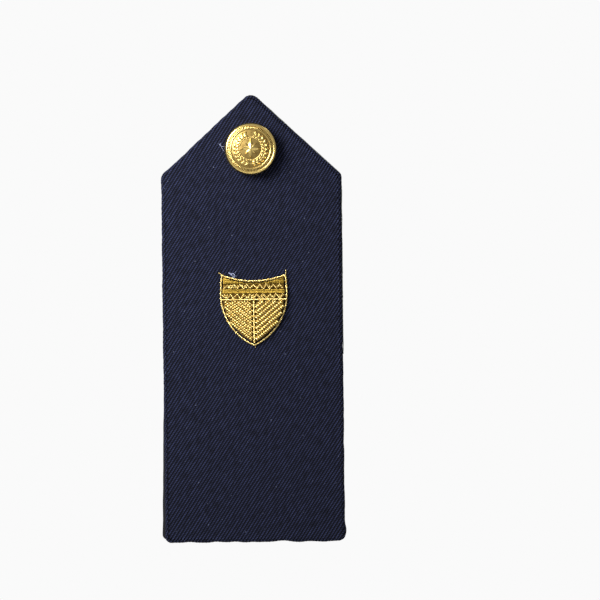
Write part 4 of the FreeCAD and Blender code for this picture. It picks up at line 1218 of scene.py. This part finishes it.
def fieldPurls():
    # rough purl laid in chevrons from the spine out to the flanks
    s = shieldShape
    field = shieldOutline(0.3, s["gap"])
    slope = math.radians(s["purlSlope"])
    dice = random.Random(11)
    mould = Mould()
    rise = s["purlPitch"] / math.cos(slope)
    for side in (-1, 1):
        way = Vector((side * math.cos(slope), math.sin(slope)))
        start = Vector((side * s["spineGap"], s["footGap"] - s["height"]))
        while start.y < -s["divider"]:
            for a, b in runsInside(field, start, way, 16)[:1]:
                roof = -s["divider"] - s["roofGap"]
                if b.y > roof:
                    b = a + way * ((roof - a.y) / way.y)
                if b.y > a.y + 0.3:
                    far = (b - a).length
                    route = []
                    for p in divided(a + way * 0.3, b, 0.11):
                        crown = 0.95 + 0.16 * (1 - (p.x / s["waist"]) ** 2)
                        wander = 0.05 * waver(p.x, p.y, 1.6, side)
                        route.append(onShield(p + Vector((-way.y, way.x)) * wander, crown))
                    if far > 0.8:
                        mould.tube(route, s["purl"] * dice.uniform(0.97, 1.04), lobes=1, pitch=s["bead"],
                                   depth=0.17, sides=14, hand=side)
                        aside = Vector((-way.y * side, 0, way.x * side)) * (s["purlPitch"] / 2)
                        between = [p + aside - Vector((0, s["fillerSink"], 0)) for p in route[::3]]
                        if len(between) > 1:
                            mould.tube(between, s["filler"], lobes=2, pitch=1.0, depth=0.1, hand=side)
            start = start + Vector((0, rise))
    piece = mould.piece("field_purls", "purl", "board")
    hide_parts("shield_field_purls")


bands = {
    "smooth": ((0.2, -3.05), (-4.98, -6.08)),
    "chips": (-4.02, -7.08),  # levels of the two zigzag rows
    "chipEvery": 1.04,
    "chipTilt": 52,  # degrees
    "chipReach": 0.84,  # half a chip's length
    "chipRadius": 0.33,
    "strayChips": 0.45,  # share of chips with a small crooked one beside them
    "end": 9.9,  # mm from the middle to where the rows stop
    "thread": 0.17,
    "spacing": 0.3,
    "ties": ((-5.2, -1.5, -6.2), (4.8, -1.3, -3.4), (-1.0, -7.9, -8.9)),
}


def smoothBands():
    # gilt thread laid side by side along the two plain bands, and the ties that hold it
    field = shieldOutline(0.3, shieldShape["gap"])
    dice = random.Random(31)
    mould = Mould()
    for top, bottom in bands["smooth"]:
        rows = int((top - bottom) / bands["spacing"])
        for row in range(rows + 1):
            level = bottom + 0.12 + row * bands["spacing"]
            for a, b in runsInside(field, Vector((-12, level)), Vector((1, 0)), 24, 0.1):
                route = []
                for p in divided(a, b, 0.6):
                    lift = 0.8 + 0.1 * (1 - (p.x / 10) ** 2) + 0.03 * waver(p.x, level, 2.5, 7.0)
                    route.append(onShield(p + Vector((0, 0.05 * waver(p.x, level, 3.0, 2.0))), lift))
                radius = bands["thread"] * dice.uniform(0.9, 1.1)
                mould.tube(route, radius, sides=8, tone=dice.uniform(0.35, 1.0))
    for x, top, bottom in bands["ties"]:
        ends = (Vector((x, top)), Vector((x + 0.1, bottom)))
        mould.tube([onShield(p, 1.08) for p in divided(*ends, 0.15)], 0.17, lobes=2, pitch=0.8, depth=0.12)
    piece = mould.piece("smooth_bands", "laid", "board")
    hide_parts("shield_smooth_bands")


def addChip(mould, field, dice, middle, tilt, reach):
    turn = math.radians(tilt + dice.uniform(-13, 13))
    half = Vector((math.cos(turn), math.sin(turn))) * reach * dice.uniform(0.85, 1.05)
    middle = middle + Vector((0, dice.uniform(-0.1, 0.1)))
    if inside(field, middle - half) and inside(field, middle + half):
        lift = 0.98 + dice.uniform(-0.08, 0.12)
        line = []
        for k in range(15):
            part = k / 7 - 1
            line.append(onShield(middle + half * part, lift + 0.16 * (1 - part * part)))
        radius = bands["chipRadius"] * dice.uniform(0.85, 1.1)
        mould.tube(line, radius, lobes=1, pitch=0.5, depth=0.2, sides=12)


def zigzagChips():
    # short cuts of bright purl sewn in a zigzag along two rows
    field = shieldOutline(0.3, shieldShape["gap"])
    dice = random.Random(23)
    mould = Mould()
    for row, level in enumerate(bands["chips"]):
        x = -bands["end"]
        number = row
        while x < bands["end"]:
            tilt = bands["chipTilt"] * (1 if number % 2 else -1)
            addChip(mould, field, dice, Vector((x, level)), tilt, bands["chipReach"])
            if dice.random() < bands["strayChips"]:
                addChip(mould, field, dice, Vector((x + 0.2, level)), dice.uniform(-80, 80), 0.5)
            x += bands["chipEvery"]
            number += 1
    piece = mould.piece("zigzag_chips", "purl", "board")
    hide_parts("shield_zigzag_purls")


def threadEnds():
    # whiskers of gilt thread at the ears and the foot, where the edging cord is fastened off
    mould = Mould()
    ear, height = shieldShape["ear"], shieldShape["height"]
    ends = [((ear - 0.1, 0), (0.02, 1.25)), ((0.1 - ear, 0), (-0.85, 0.45)), ((0.2 - ear, -0.1), (0.7, 0.1))]
    ends.append(((0.1, 0.25 - height), (0.35, -0.5)))
    for start, way in ends:
        line = [onShield(Vector(start) + Vector(way) * (k / 6), 0.4 - 0.25 * (k / 6) ** 2) for k in range(7)]
        mould.tube(line, 0.13, lobes=2, pitch=0.7, depth=0.15, sides=8)
    piece = mould.piece("thread_ends", "cord", "board")


# stray fibres

strays = [  # (x, z) where a fibre starts, its length, its direction in degrees and how many lie together
    ((-9.7, 2.2), 3.4, -68, 2),
    ((-7.2, -39.4), 2.2, -25, 5),
    ((-6.2, -40.6), 1.5, 20, 4),
]


fibreRadius = 0.035


def lint():
    dice = random.Random(3)
    mould = Mould()
    for (x, z), length, heading, count in strays:
        for _ in range(count):
            turn = math.radians(heading + dice.uniform(-25, 25))
            point = Vector((x + dice.uniform(-0.4, 0.4), z + dice.uniform(-0.4, 0.4)))
            curl = dice.uniform(-0.25, 0.25)
            line = []
            for k in range(14):
                lift = 0.16 + 0.35 * math.sin(math.pi * k / 13)
                line.append(Vector((point.x, -coverLow.y + lift, point.y)))
                point = point + Vector((math.cos(turn), math.sin(turn))) * (length / 13)
                turn += curl
            mould.tube(line, fibreRadius, sides=5)
    piece = mould.piece("stray_fibres", "lint", "board")


# finishes of the CAD pieces that are kept

keptNodes = {
    "stiffener_board": "board",
    "post_eyelet": "brass",
    "eyelet_washer": "brass",
    "button_back": "brass",
    "button_filler": "straw",
    "nut_washer": "nickel",
    "thumb_nut": "brass",
    "snap_socket": "nickel",
    "snap_spring": "bronze",
    "snap_stud": "nickel",
    "snap_rivet": "nickel",
}


def paintKept():
    for node, finish in keptNodes.items():
        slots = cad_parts[node].material_slots
        for place in slots:
            place.material = finishes[finish]
        if not slots:
            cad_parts[node].data.materials.append(finishes[finish])


addCamera()
addFloor(finishes["paper"])
addWorld()
for name in ("key", "front", "back"):
    addLight(name, **studio[name])
bpy.context.scene.view_settings.view_transform = "Standard"
print("cover")
twillCover()
print("lining and foam")
lining()
foam()
rawEdge()
print("strap and sewing")
strap()
strapSewing()
print("button")
buttonFace()
screwPost()
snapCap()
print("shield")
feltPad()
edgingCord()
innerCords()
fieldPurls()
smoothBands()
zigzagChips()
threadEnds()
lint()
paintKept()
